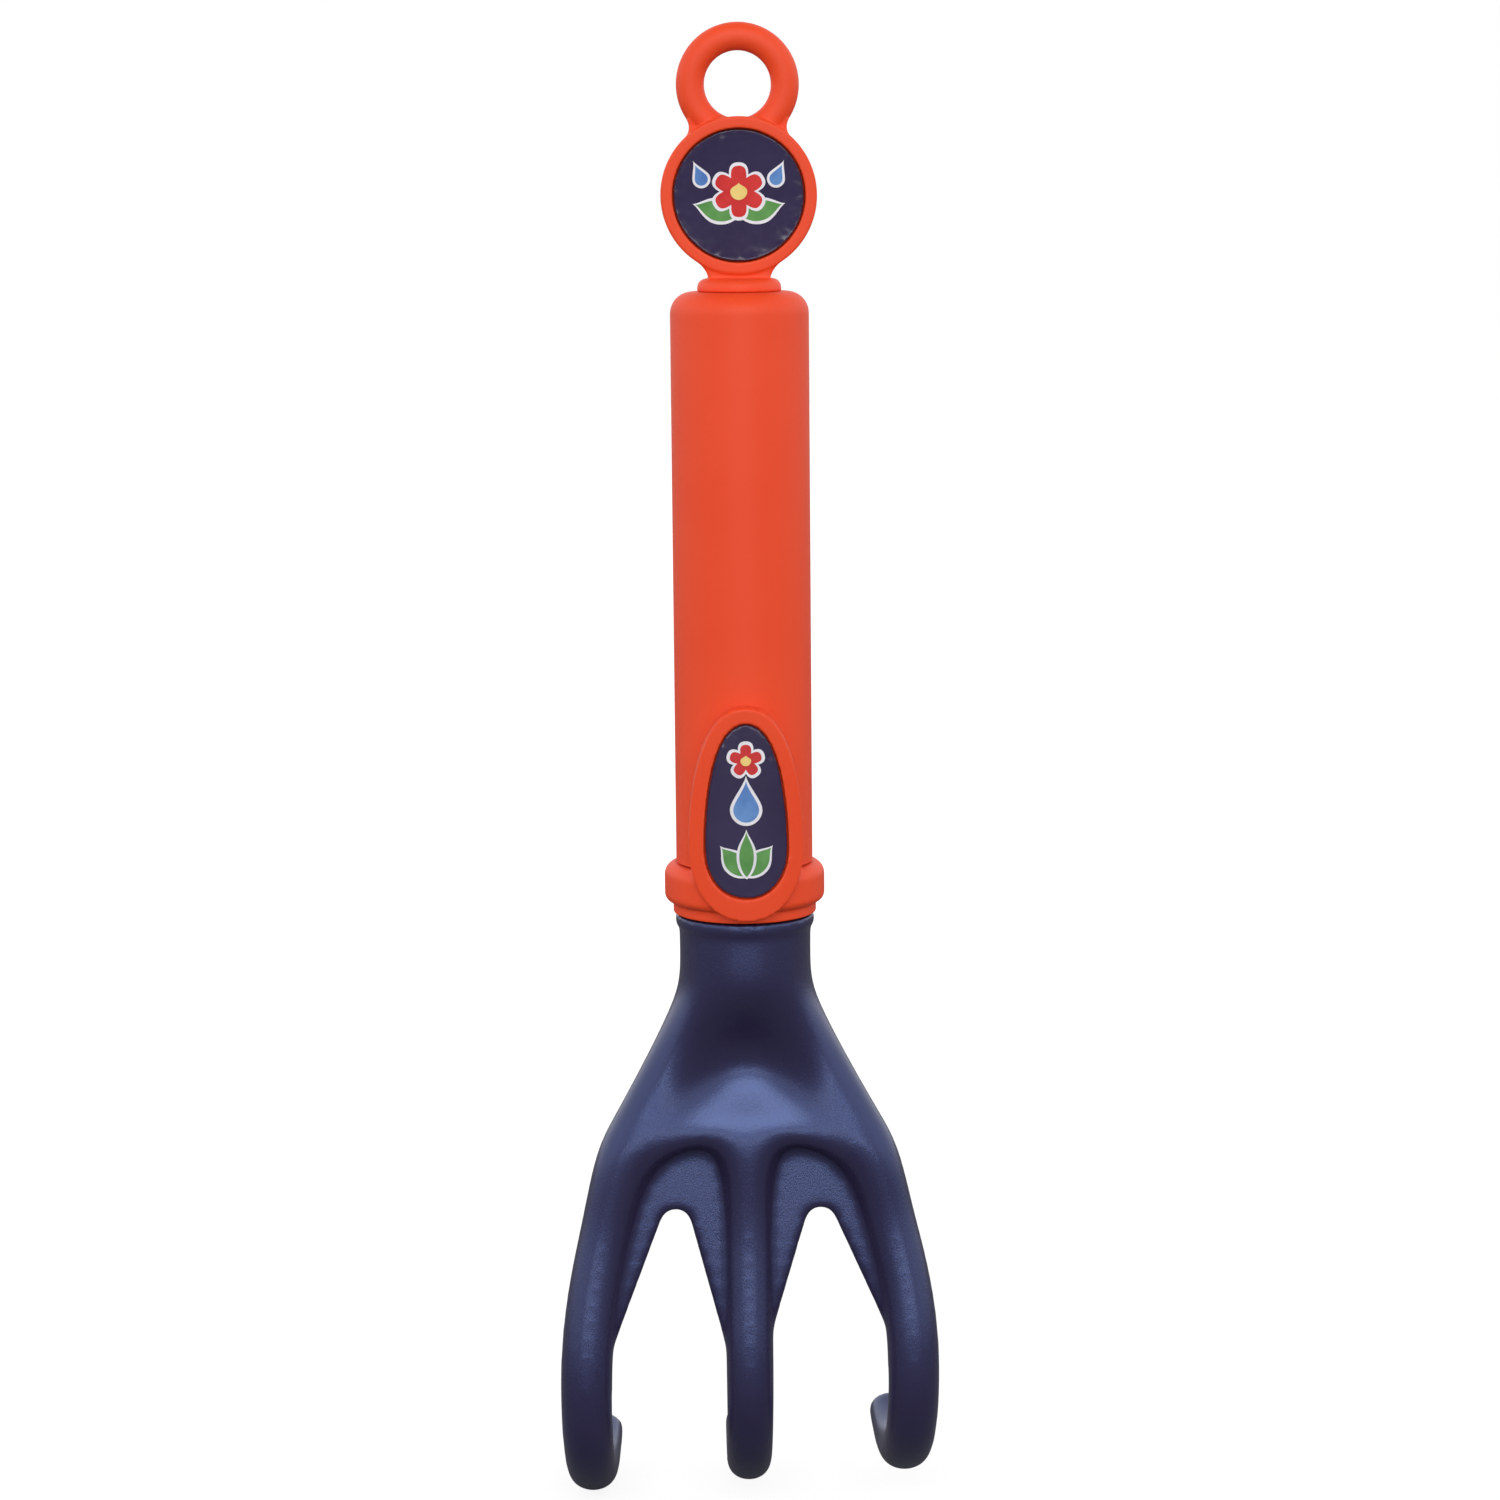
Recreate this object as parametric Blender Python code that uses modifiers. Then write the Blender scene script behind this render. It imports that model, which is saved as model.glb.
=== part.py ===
"""Kids hand cultivator: a moulded orange handle with a navy three-tine claw.

Two half shells make the grip. They close round the foot of the hanger, the ferrule slides over
their reduced lower end, and the barbed spigot of the tine head snaps in from below.
Units are metres. The tool stands upright, with its front (the badges) towards -Y.
Every piece is placed from the tool's axis, with z = 0 at the lower rim of the handle.
"""
import math

import bmesh
import bpy
from mathutils import Matrix, Vector

MM = 0.001

# Clearance between neighbouring pieces
GAP = 0.3 * MM

# Grip
GRIP_RADIUS = 12.4 * MM
GRIP_LENGTH = 112.4 * MM
GRIP_WALL = 2.2 * MM
GRIP_TOP_WALL = 2.6 * MM
SHOULDER_RADIUS = 3.9 * MM
LAP_HEIGHT = 1.2 * MM
LAP_THICKNESS = 1.0 * MM
BOSS_RADIUS = 2.8 * MM
PIN_RADIUS = 1.4 * MM
PIN_LENGTH = 3.0 * MM
BOSS_SPACING = 36.0 * MM
BOSS_FROM_TOP = 24.0 * MM

# Ferrule: collar, rim and the tongue that holds the egg-shaped badge
COLLAR_RADIUS = 14.55 * MM
COLLAR_HEIGHT = 9.2 * MM
COLLAR_ROUNDING = 2.2 * MM
RIM_HEIGHT = 3.6 * MM
RIM_RADIUS = 13.0 * MM
FERRULE_WALL = 1.6 * MM
TONGUE_FOOT = 0.8 * MM
TONGUE_BORDER = 2.7 * MM
TONGUE_CHIN = 1.3 * MM
TONGUE_RISE = 2.8 * MM
TONGUE_LEAN = math.radians(1.5)
CROWN_RADIUS = 24.0 * MM

# Badges
BADGE_LENGTH = 31.4 * MM
BADGE_HALF_WIDTH = 7.3 * MM
BADGE_BELLY = 8.9 * MM
BADGE_THICKNESS = 0.6 * MM
BADGE_SINK = 0.4 * MM
EGG_TOP_PULL = 0.85
EGG_SIDE_PULL = 0.30
EGG_FOOT_PULL = 0.60
DISC_RADIUS = 11.5 * MM
DISC_THICKNESS = 1.0 * MM
DISC_SINK = 0.7 * MM
DISC_BEVEL = 0.3 * MM

# Hanger
RING_RADIUS = 8.4 * MM
RING_WIRE = 2.5 * MM
BEZEL_BORDER = 2.05 * MM
BEZEL_THICKNESS = 7.6 * MM
BEZEL_ROUNDING = 1.5 * MM
RING_OVERLAP = 5.35 * MM
RING_FILLET = 2.5 * MM
RING_WEB_THICKNESS = 3.2 * MM
NECK_WIDTH = 10.6 * MM
NECK_THICKNESS = 7.0 * MM
NECK_HEIGHT = 0.8 * MM
NECK_FILLET = 5.0 * MM
FLANGE_RADIUS = 7.5 * MM
FLANGE_HEIGHT = 2.0 * MM
FLANGE_ROUNDING = 1.2 * MM
STEM_SIDE = 7.0 * MM
FOOT_RADIUS = 7.0 * MM
FOOT_HEIGHT = 2.2 * MM

# Tine head: spigot
SPIGOT_RADIUS = 8.9 * MM
SPIGOT_BASE = 12.0 * MM
SPIGOT_FLAT = 7.6 * MM
SHANK_RADIUS = 6.3 * MM
SHANK_LENGTH = 12.8 * MM
BARB_RADIUS = 8.0 * MM
BARB_LENGTH = 8.0 * MM
BARB_TIP_RADIUS = 5.2 * MM
BARB_LAND = 1.6 * MM
SLOT_WIDTH = 3.0 * MM
RIB_HEIGHT = 2.5 * MM

# Tine head: neck and palm
LIP_RADIUS = 12.65 * MM
LIP_HEIGHT = 1.8 * MM
HEAD_NECK_RADIUS = 12.0 * MM
HEAD_NECK_LENGTH = 11.5 * MM
PALM_LENGTH = 32.5 * MM
PALM_FLARE = 1.12
SADDLE_DEPTH = 8.5 * MM
SADDLE_BOW = 1.5
SADDLE_ACROSS = (0.3, 0.2, 1.0)
KNUCKLE_FORWARD = 1.3 * MM
CLAW_FORWARD = 3.0 * MM

# Tine head: tines and webs
OUTER_TINE_RADIUS = 5.0 * MM
MIDDLE_TINE_RADIUS = 4.6 * MM
KNUCKLE_SPREAD = 23.1 * MM
TINE_SPREAD = 30.2 * MM
TINE_BOW = 1.6
KNUCKLE_DROP = 4.6 * MM
SHOULDER_RISE = 2.5 * MM
ARCH_RISE = 5.0 * MM
TINE_LENGTH = 35.8 * MM
TINE_TRIM = (0.0, 1.3 * MM, 3.4 * MM)
TINE_ARCH = 5.0 * MM
ARCH_BOW = 1.25
BEND_RADIUS = 21.0 * MM
BEND_ANGLE = math.radians(124.5)
TOE_IN = math.radians(3.6)
TIP_TAPER = 0.92
WEB_THICKNESS = 2.4 * MM
WEB_BEHIND = 0.2 * MM
WEB_LEAN = math.radians(7.5)
CROTCH_DEPTH = 9.0 * MM
CROTCH_RADIUS = 2.7 * MM
CROTCH_SHIFT = 2.0 * MM
WEB_END = 2.2 * MM
WEB_ROOT = 8.0 * MM
WEB_TUCK = 0.5 * MM

# Fineness of round shapes
TURN_STEPS = 40
RING_STEPS = 12
CROWN_STEPS = 96
PIN_STEPS = 16

ORANGE = (0.807, 0.087, 0.034, 1.0)
NAVY = (0.030, 0.034, 0.092, 1.0)
BADGE_NAVY = (0.024, 0.022, 0.085, 1.0)


def new_collection(name):
    collection = bpy.data.collections.new(name)
    bpy.context.scene.collection.children.link(collection)
    return collection


for old in list(bpy.data.objects):
    bpy.data.objects.remove(old, do_unlink=True)

PARTS = new_collection("kids_hand_cultivator")
CUTTERS = new_collection("cutters")

AXIS = bpy.data.objects.new("tool_axis", None)
PARTS.objects.link(AXIS)


def plastic(name, colour, roughness):
    material = bpy.data.materials.new(name)
    material.use_nodes = True
    shader = material.node_tree.nodes["Principled BSDF"]
    shader.inputs["Base Color"].default_value = colour
    shader.inputs["Roughness"].default_value = roughness
    shader.inputs["Metallic"].default_value = 0.0
    return material


ORANGE_PLASTIC = plastic("orange_plastic", ORANGE, 0.55)
NAVY_PLASTIC = plastic("navy_plastic", NAVY, 0.42)
BADGE_FILM = plastic("badge_film", BADGE_NAVY, 0.2)


def place(name, mesh, material=None):
    """Link a mesh to the tool's axis, as a part if it has a material and as a cutter if not."""
    thing = bpy.data.objects.new(name, mesh)
    thing.parent = AXIS
    if material:
        PARTS.objects.link(thing)
        mesh.materials.append(material)
    else:
        CUTTERS.objects.link(thing)
        thing.hide_render = True
        thing.display_type = "WIRE"
    return thing


def arc(centre_r, centre_z, radius, start_deg, end_deg, steps):
    """Points of an arc in the (r, z) half plane, angles counted from +r towards +z."""
    points = []
    for step in range(steps + 1):
        angle = math.radians(start_deg + (end_deg - start_deg) * step / steps)
        points.append((centre_r + radius * math.cos(angle), centre_z + radius * math.sin(angle)))
    return points


def turned(name, profile, material=None, closed=False):
    """Turn a profile of (r, z) points about Z; it runs from the top down its outer side.

    The profile starts half a step round, so that a facet and not an edge faces the front.
    """
    mesh = bpy.data.meshes.new(name)
    across = math.cos(math.pi / TURN_STEPS)
    aside = math.sin(math.pi / TURN_STEPS)
    count = len(profile)
    edges = [(i, i + 1) for i in range(count - 1)]
    if closed:
        edges.append((count - 1, 0))
    mesh.from_pydata([(r * across, r * aside, z) for r, z in profile], edges, [])
    thing = place(name, mesh, material)
    screw = thing.modifiers.new("turn", "SCREW")
    screw.steps = TURN_STEPS
    screw.render_steps = TURN_STEPS
    screw.use_merge_vertices = True
    screw.merge_threshold = 0.000005
    return thing


def rod(name, radius, start, end, steps=TURN_STEPS):
    """A cylinder from one point to another."""
    start = Vector(start)
    end = Vector(end)
    run = end - start
    turn = run.to_track_quat("Z", "Y").to_matrix().to_4x4()
    mesh = bpy.data.meshes.new(name)
    body = bmesh.new()
    bmesh.ops.create_cone(body, cap_ends=True, segments=steps, radius1=radius, radius2=radius,
                          depth=run.length, matrix=Matrix.Translation((start + end) / 2) @ turn)
    body.to_mesh(mesh)
    body.free()
    return place(name, mesh)


def block(name, low, high):
    """A box between two corners."""
    low = Vector(low)
    high = Vector(high)
    mesh = bpy.data.meshes.new(name)
    body = bmesh.new()
    matrix = Matrix.Translation((low + high) / 2) @ Matrix.Diagonal((*(high - low), 1.0))
    bmesh.ops.create_cube(body, size=1.0, matrix=matrix)
    body.to_mesh(mesh)
    body.free()
    return place(name, mesh)


def combine(target, other, operation):
    boolean = target.modifiers.new(f"{operation.lower()}_{other.name}", "BOOLEAN")
    boolean.operation = operation
    boolean.solver = "EXACT"
    boolean.object = other


def join(target, other):
    combine(target, other, "UNION")


def cut(target, other):
    combine(target, other, "DIFFERENCE")


def keep_inside(target, other):
    combine(target, other, "INTERSECT")


def weld(target):
    """Merge the twin points that a chain of cuts leaves behind."""
    merge = target.modifiers.new("weld", "WELD")
    merge.merge_threshold = 0.00001


def flat_curve(name, depth):
    """An empty 2D curve that fills its outline and reaches a depth to both sides of it."""
    curve = bpy.data.curves.new(name, "CURVE")
    curve.dimensions = "2D"
    curve.fill_mode = "BOTH"
    curve.extrude = depth
    return curve


def polygon(name, points, depth):
    """A filled outline with straight sides."""
    curve = flat_curve(name, depth)
    spline = curve.splines.new("POLY")
    spline.points.add(len(points) - 1)
    spline.use_cyclic_u = True
    for point, (x, y) in zip(spline.points, points):
        point.co = (x, y, 0, 1)
    return curve


def plate_from_curve(name, curve, matrix, material=None):
    """Make a filled 2D curve a closed mesh, so that it can be cut and joined."""
    flat = bpy.data.objects.new(name, curve)
    bpy.context.scene.collection.objects.link(flat)
    graph = bpy.context.evaluated_depsgraph_get()
    mesh = bpy.data.meshes.new_from_object(flat.evaluated_get(graph))
    bpy.data.objects.remove(flat, do_unlink=True)
    mesh.materials.clear()
    body = bmesh.new()
    body.from_mesh(mesh)
    bmesh.ops.remove_doubles(body, verts=body.verts, dist=0.000001)
    bmesh.ops.recalc_face_normals(body, faces=body.faces)
    body.to_mesh(mesh)
    body.free()
    mesh.transform(matrix)
    return place(name, mesh, material)


# Grip: two half shells

SLEEVE_RADIUS = RIM_RADIUS - FERRULE_WALL - GAP
SLEEVE_TOP = COLLAR_HEIGHT + GAP
BORE_RADIUS = GRIP_RADIUS - GRIP_WALL
CAVITY_TOP = GRIP_LENGTH - GRIP_TOP_WALL
SOCKET_RADIUS = SPIGOT_RADIUS + GAP
SOCKET_TOP = SPIGOT_BASE + GAP
CAVITY_FLOOR = SOCKET_TOP + GRIP_WALL
RIB_TOP = SPIGOT_BASE + SHANK_LENGTH - GAP
RIB_OPENING = SHANK_RADIUS + GAP
SHELL_LIMIT = 2 * GRIP_RADIUS


def shell_profile():
    """Closed section of the whole grip, with its lower end still solid down to the socket."""
    edge = GRIP_RADIUS - SHOULDER_RADIUS
    outside = [(STEM_SIDE / 4, GRIP_LENGTH)]
    outside += arc(edge, GRIP_LENGTH - SHOULDER_RADIUS, SHOULDER_RADIUS, 90, 0, 8)
    outside += [(GRIP_RADIUS, SLEEVE_TOP), (SLEEVE_RADIUS, SLEEVE_TOP), (SLEEVE_RADIUS, 0.0)]
    inside = [(RIB_OPENING, 0.0), (RIB_OPENING, CAVITY_FLOOR), (BORE_RADIUS, CAVITY_FLOOR)]
    inside += [(BORE_RADIUS, RIB_TOP - RIB_HEIGHT), (RIB_OPENING, RIB_TOP - RIB_HEIGHT)]
    inside += [(RIB_OPENING, RIB_TOP), (BORE_RADIUS, RIB_TOP)]
    inside += [(BORE_RADIUS, CAVITY_TOP - GRIP_WALL), (BORE_RADIUS - GRIP_WALL, CAVITY_TOP)]
    inside += [(STEM_SIDE / 4, CAVITY_TOP)]
    return outside + inside


def lap_band(name, inner, outer, reach, overrun):
    """Two strips of a ring along the seam, reaching the same way to both sides of it."""
    low = RIB_TOP + GRIP_WALL - overrun
    high = CAVITY_TOP - 2 * GRIP_WALL + overrun
    ring = turned(name, [(inner, high), (outer, high), (outer, low), (inner, low)], closed=True)
    window = block(name + "_window", (-SHELL_LIMIT, -reach, 0.0), (SHELL_LIMIT, reach, GRIP_LENGTH))
    keep_inside(ring, window)
    return ring


SOCKET = rod("socket", SOCKET_RADIUS, (0, 0, -GRIP_WALL), (0, 0, SOCKET_TOP))
FLAT_REACH = SPIGOT_FLAT + GAP
SOCKET_FLATS = block("socket_flats", (-SHELL_LIMIT, -FLAT_REACH, -GRIP_LENGTH),
                     (SHELL_LIMIT, FLAT_REACH, GRIP_LENGTH))
keep_inside(SOCKET, SOCKET_FLATS)
STEM_HOLE_SIDE = STEM_SIDE / 2 + GAP
STEM_HOLE = block("stem_hole", (-STEM_HOLE_SIDE, -STEM_HOLE_SIDE, CAVITY_TOP - GRIP_WALL),
                  (STEM_HOLE_SIDE, STEM_HOLE_SIDE, GRIP_LENGTH + GRIP_WALL))


def boss_heights():
    upper = GRIP_LENGTH - BOSS_FROM_TOP
    return [upper - BOSS_SPACING, upper]


def grip_shell(name, side):
    """One half of the grip: side is -1 for the front and +1 for the rear."""
    shell = turned(name, shell_profile(), ORANGE_PLASTIC, closed=True)
    wall_middle = side * (GRIP_RADIUS - GRIP_WALL / 2)
    for number, height in enumerate(boss_heights(), start=1):
        boss = rod(f"{name}_boss_{number}", BOSS_RADIUS, (0, wall_middle, height),
                   (0, -side * PIN_RADIUS, height), PIN_STEPS)
        join(shell, boss)
    for cutter in (SOCKET, STEM_HOLE):
        cut(shell, cutter)
    near = side * GAP / 2
    far = side * SHELL_LIMIT
    half = block(name + "_half", (-SHELL_LIMIT, min(near, far), -SHELL_LIMIT),
                 (SHELL_LIMIT, max(near, far), GRIP_LENGTH + SHELL_LIMIT))
    keep_inside(shell, half)
    return shell


def front_shell():
    shell = grip_shell("grip_front_shell", -1)
    lip = lap_band("lap_lip", BORE_RADIUS - GAP, BORE_RADIUS + LAP_THICKNESS, LAP_HEIGHT, 0.0)
    join(shell, lip)
    for number, height in enumerate(boss_heights(), start=1):
        pin = rod(f"pin_{number}", PIN_RADIUS, (0, -PIN_LENGTH, height), (0, PIN_LENGTH, height), PIN_STEPS)
        join(shell, pin)


def rear_shell():
    shell = grip_shell("grip_rear_shell", 1)
    rebate = lap_band("lap_rebate", BORE_RADIUS - 2 * GAP, BORE_RADIUS + LAP_THICKNESS + GAP,
                      LAP_HEIGHT + GAP, GAP)
    cut(shell, rebate)
    for number, height in enumerate(boss_heights(), start=1):
        socket = rod(f"pin_socket_{number}", PIN_RADIUS + GAP, (0, -PIN_LENGTH, height),
                     (0, PIN_LENGTH + GAP, height), PIN_STEPS)
        cut(shell, socket)


# Ferrule: collar and tongue

BORDER_AND_GAP = TONGUE_BORDER + GAP
TONGUE_LENGTH = BADGE_LENGTH + 2 * BORDER_AND_GAP + TONGUE_CHIN
TONGUE_CENTRE = TONGUE_FOOT + TONGUE_CHIN + BORDER_AND_GAP + BADGE_LENGTH / 2
TONGUE_FRONT = GRIP_RADIUS + GAP + TONGUE_RISE
TONGUE_MATRIX = (Matrix.Translation((0, -TONGUE_FRONT, TONGUE_CENTRE))
                 @ Matrix.Rotation(math.pi / 2 + TONGUE_LEAN, 4, "X"))
BADGE_RECESS = BADGE_SINK + BADGE_THICKNESS + GAP


def egg(name, grow, depth, chin=0.0):
    """Egg-shaped outline: the badge's own, grown by a border and lengthened at its foot."""
    top = BADGE_LENGTH / 2 + grow
    foot = -BADGE_LENGTH / 2 - grow - chin
    belly = -BADGE_LENGTH / 2 + BADGE_BELLY
    width = BADGE_HALF_WIDTH + grow
    top_pull = EGG_TOP_PULL * width
    side_pull = EGG_SIDE_PULL * (top - belly)
    foot_side_pull = EGG_FOOT_PULL * (belly - foot)
    foot_pull = EGG_FOOT_PULL * width
    curve = flat_curve(name, depth)
    curve.resolution_u = 8
    spline = curve.splines.new("BEZIER")
    spline.bezier_points.add(3)
    spline.use_cyclic_u = True
    knots = [
        ((0, top), (-top_pull, 0), (top_pull, 0)),
        ((width, belly), (0, side_pull), (0, -foot_side_pull)),
        ((0, foot), (foot_pull, 0), (-foot_pull, 0)),
        ((-width, belly), (0, -foot_side_pull), (0, side_pull)),
    ]
    for point, (place_xy, before, after) in zip(spline.bezier_points, knots):
        point.handle_left_type = "FREE"
        point.handle_right_type = "FREE"
        point.co = (*place_xy, 0)
        point.handle_left = (place_xy[0] + before[0], place_xy[1] + before[1], 0)
        point.handle_right = (place_xy[0] + after[0], place_xy[1] + after[1], 0)
    return curve


def crown(name, depth):
    """The cylinder that gives the tongue its convex face, sunk by a depth."""
    axis_point = Vector((0, 0, -CROWN_RADIUS))
    along = Vector((0, TONGUE_LENGTH, 0))
    start = TONGUE_MATRIX @ (axis_point - along)
    end = TONGUE_MATRIX @ (axis_point + along)
    return rod(name, CROWN_RADIUS - depth, start, end, CROWN_STEPS)


def ferrule():
    top_edge = COLLAR_HEIGHT - COLLAR_ROUNDING
    collar_edge = COLLAR_RADIUS - COLLAR_ROUNDING
    foot_edge = COLLAR_RADIUS - RIM_RADIUS
    profile = [(SLEEVE_RADIUS, COLLAR_HEIGHT)]
    profile += arc(collar_edge, top_edge, COLLAR_ROUNDING, 90, 0, 6)
    profile += arc(RIM_RADIUS, RIM_HEIGHT, foot_edge, 0, -60, 4)
    profile += [(RIM_RADIUS, RIM_HEIGHT - foot_edge), (RIM_RADIUS, 0.0), (SLEEVE_RADIUS, 0.0)]
    body = turned("ferrule", profile, ORANGE_PLASTIC, closed=True)
    outline = egg("tongue", BORDER_AND_GAP, GRIP_RADIUS, TONGUE_CHIN)
    tongue = plate_from_curve("tongue", outline, TONGUE_MATRIX)
    keep_inside(tongue, crown("tongue_crown", 0.0))
    join(body, tongue)
    tongue_top = TONGUE_LENGTH + GRIP_RADIUS
    bore = RIM_RADIUS - FERRULE_WALL
    seat = GRIP_RADIUS + GAP
    way = turned("handle_way", [(0, tongue_top), (seat, tongue_top), (seat, COLLAR_HEIGHT),
                                (bore, COLLAR_HEIGHT), (bore, -GRIP_WALL), (0, -GRIP_WALL)])
    cut(body, way)
    behind = block("behind_tongue", (-SHELL_LIMIT, 0, COLLAR_HEIGHT), (SHELL_LIMIT, SHELL_LIMIT, tongue_top))
    cut(body, behind)
    recess = plate_from_curve("badge_recess", egg("badge_recess", GAP, GRIP_RADIUS), TONGUE_MATRIX)
    cut(recess, crown("recess_floor", BADGE_RECESS))
    cut(body, recess)


def teardrop_badge():
    badge = plate_from_curve("teardrop_badge", egg("teardrop_badge", 0.0, GRIP_RADIUS),
                             TONGUE_MATRIX, BADGE_FILM)
    keep_inside(badge, crown("badge_face", BADGE_SINK))
    cut(badge, crown("badge_back", BADGE_SINK + BADGE_THICKNESS))


# Hanger: ring, round bezel, neck, flange, stem and foot

FLANGE_BOTTOM = GRIP_LENGTH + GAP
BEZEL_RADIUS = DISC_RADIUS + GAP + BEZEL_BORDER
BEZEL_CENTRE = FLANGE_BOTTOM + FLANGE_HEIGHT + NECK_HEIGHT + BEZEL_RADIUS
RING_CENTRE = BEZEL_CENTRE + BEZEL_RADIUS + RING_RADIUS + RING_WIRE - RING_OVERLAP
FOOT_TOP = CAVITY_TOP - GAP
FACE_FORWARD = Matrix.Rotation(math.pi / 2, 4, "X")
DISC_RECESS = DISC_SINK + DISC_THICKNESS + GAP


def bezel_profile():
    half = BEZEL_THICKNESS / 2
    edge = BEZEL_RADIUS - BEZEL_ROUNDING
    profile = [(0, half)]
    profile += arc(edge, half - BEZEL_ROUNDING, BEZEL_ROUNDING, 90, 0, 5)
    profile += arc(edge, BEZEL_ROUNDING - half, BEZEL_ROUNDING, 0, -90, 5)
    profile += [(0, -half)]
    return profile


def both_sides(right):
    """Close an outline given by its right side from the top down."""
    return right + [(-x, z) for x, z in reversed(right)]


def neck_outline():
    """Front outline of the neck: it flares up into the bezel with a round fillet on each side."""
    centre_x = NECK_WIDTH / 2 + NECK_FILLET
    rise = math.sqrt((BEZEL_RADIUS + NECK_FILLET) ** 2 - centre_x ** 2)
    tangent = math.degrees(math.atan2(rise, -centre_x))
    right = arc(centre_x, BEZEL_CENTRE - rise, NECK_FILLET, tangent, 180, 6)
    base = FLANGE_BOTTOM + FLANGE_HEIGHT / 2
    right = [(x, z) for x, z in right if z > base]
    return both_sides([(NECK_WIDTH / 2, BEZEL_CENTRE)] + right + [(right[-1][0], base)])


def ring_web_outline():
    """Front outline of the web between ring and bezel, with a round fillet in each notch."""
    ring_outer = RING_RADIUS + RING_WIRE
    apart = RING_CENTRE - BEZEL_CENTRE
    to_bezel = BEZEL_RADIUS + RING_FILLET
    to_ring = ring_outer + RING_FILLET
    height = (to_bezel ** 2 - to_ring ** 2 + apart ** 2) / (2 * apart)
    centre_x = math.sqrt(to_bezel ** 2 - height ** 2)
    start = math.degrees(math.atan2(apart - height, -centre_x))
    end = math.degrees(math.atan2(-height, -centre_x)) + 360
    return both_sides(arc(centre_x, BEZEL_CENTRE + height, RING_FILLET, start, end, 6))


def hanger():
    bezel = turned("hanger", bezel_profile(), ORANGE_PLASTIC)
    bezel.matrix_local = Matrix.Translation((0, 0, BEZEL_CENTRE)) @ FACE_FORWARD
    bpy.ops.mesh.primitive_torus_add(major_segments=TURN_STEPS, minor_segments=RING_STEPS,
                                     major_radius=RING_RADIUS, minor_radius=RING_WIRE)
    made = bpy.context.object
    ring = place("hanging_ring", made.data.copy())
    bpy.data.objects.remove(made, do_unlink=True)
    ring.matrix_local = Matrix.Translation((0, 0, RING_CENTRE)) @ FACE_FORWARD
    join(bezel, ring)
    ring_web = polygon("ring_web", ring_web_outline(), RING_WEB_THICKNESS / 2)
    join(bezel, plate_from_curve("ring_web", ring_web, FACE_FORWARD))
    neck = polygon("hanger_neck", neck_outline(), NECK_THICKNESS / 2)
    join(bezel, plate_from_curve("hanger_neck", neck, FACE_FORWARD))
    flange_top = FLANGE_BOTTOM + FLANGE_HEIGHT
    profile = [(0, flange_top)]
    profile += arc(FLANGE_RADIUS - FLANGE_ROUNDING, flange_top - FLANGE_ROUNDING, FLANGE_ROUNDING, 90, 0, 4)
    profile += [(FLANGE_RADIUS, FLANGE_BOTTOM), (0, FLANGE_BOTTOM)]
    join(bezel, turned("hanger_flange", profile))
    half = STEM_SIDE / 2
    join(bezel, block("stem", (-half, -half, FOOT_TOP - FOOT_HEIGHT / 2),
                      (half, half, FLANGE_BOTTOM + FLANGE_HEIGHT / 2)))
    join(bezel, rod("hanger_foot", FOOT_RADIUS, (0, 0, FOOT_TOP - FOOT_HEIGHT), (0, 0, FOOT_TOP)))
    pocket_floor = DISC_RECESS - BEZEL_THICKNESS / 2
    cut(bezel, rod("disc_pocket", DISC_RADIUS + GAP, (0, pocket_floor, BEZEL_CENTRE),
                   (0, -BEZEL_THICKNESS, BEZEL_CENTRE)))


def round_badge():
    half = DISC_THICKNESS / 2
    profile = [(0, half), (DISC_RADIUS - DISC_BEVEL, half), (DISC_RADIUS, half - DISC_BEVEL)]
    profile += [(DISC_RADIUS, -half), (0, -half)]
    disc = turned("round_badge", profile, BADGE_FILM)
    front = BEZEL_THICKNESS / 2 - DISC_SINK - half
    disc.matrix_local = Matrix.Translation((0, -front, BEZEL_CENTRE)) @ FACE_FORWARD


# Tine head: spigot, lip, palm, tines and webs

SHANK_TOP = SPIGOT_BASE + SHANK_LENGTH
LIP_TOP = -GAP
LIP_FOOT = LIP_TOP - LIP_HEIGHT
NECK_END = LIP_FOOT - HEAD_NECK_LENGTH
KNUCKLE_LEVEL = NECK_END - PALM_LENGTH
TINE_START = KNUCKLE_LEVEL - KNUCKLE_DROP / 2
RING_POINTS = 12
COLUMNS = RING_POINTS // 2
BEND_STEPS = 5
PALM_STEPS = 5


def ring_growth(angle):
    """How far outside a smooth closed curve its control points lie, for points this angle apart."""
    return 3.0 / (2.0 + math.cos(angle))


SQUARE_GROWTH = ring_growth(math.pi / 2) / math.sqrt(2)


def neck_ring(radius, height):
    """Control points of a round section: the front row from left to right, then the back row."""
    reach = radius * ring_growth(2 * math.pi / RING_POINTS)
    front = []
    back = []
    for column in range(COLUMNS):
        angle = math.pi * (column + 0.5) / COLUMNS
        front.append(Vector((-reach * math.cos(angle), -reach * math.sin(angle), height)))
        back.append(Vector((-reach * math.cos(angle), reach * math.sin(angle), height)))
    return front, back


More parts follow.
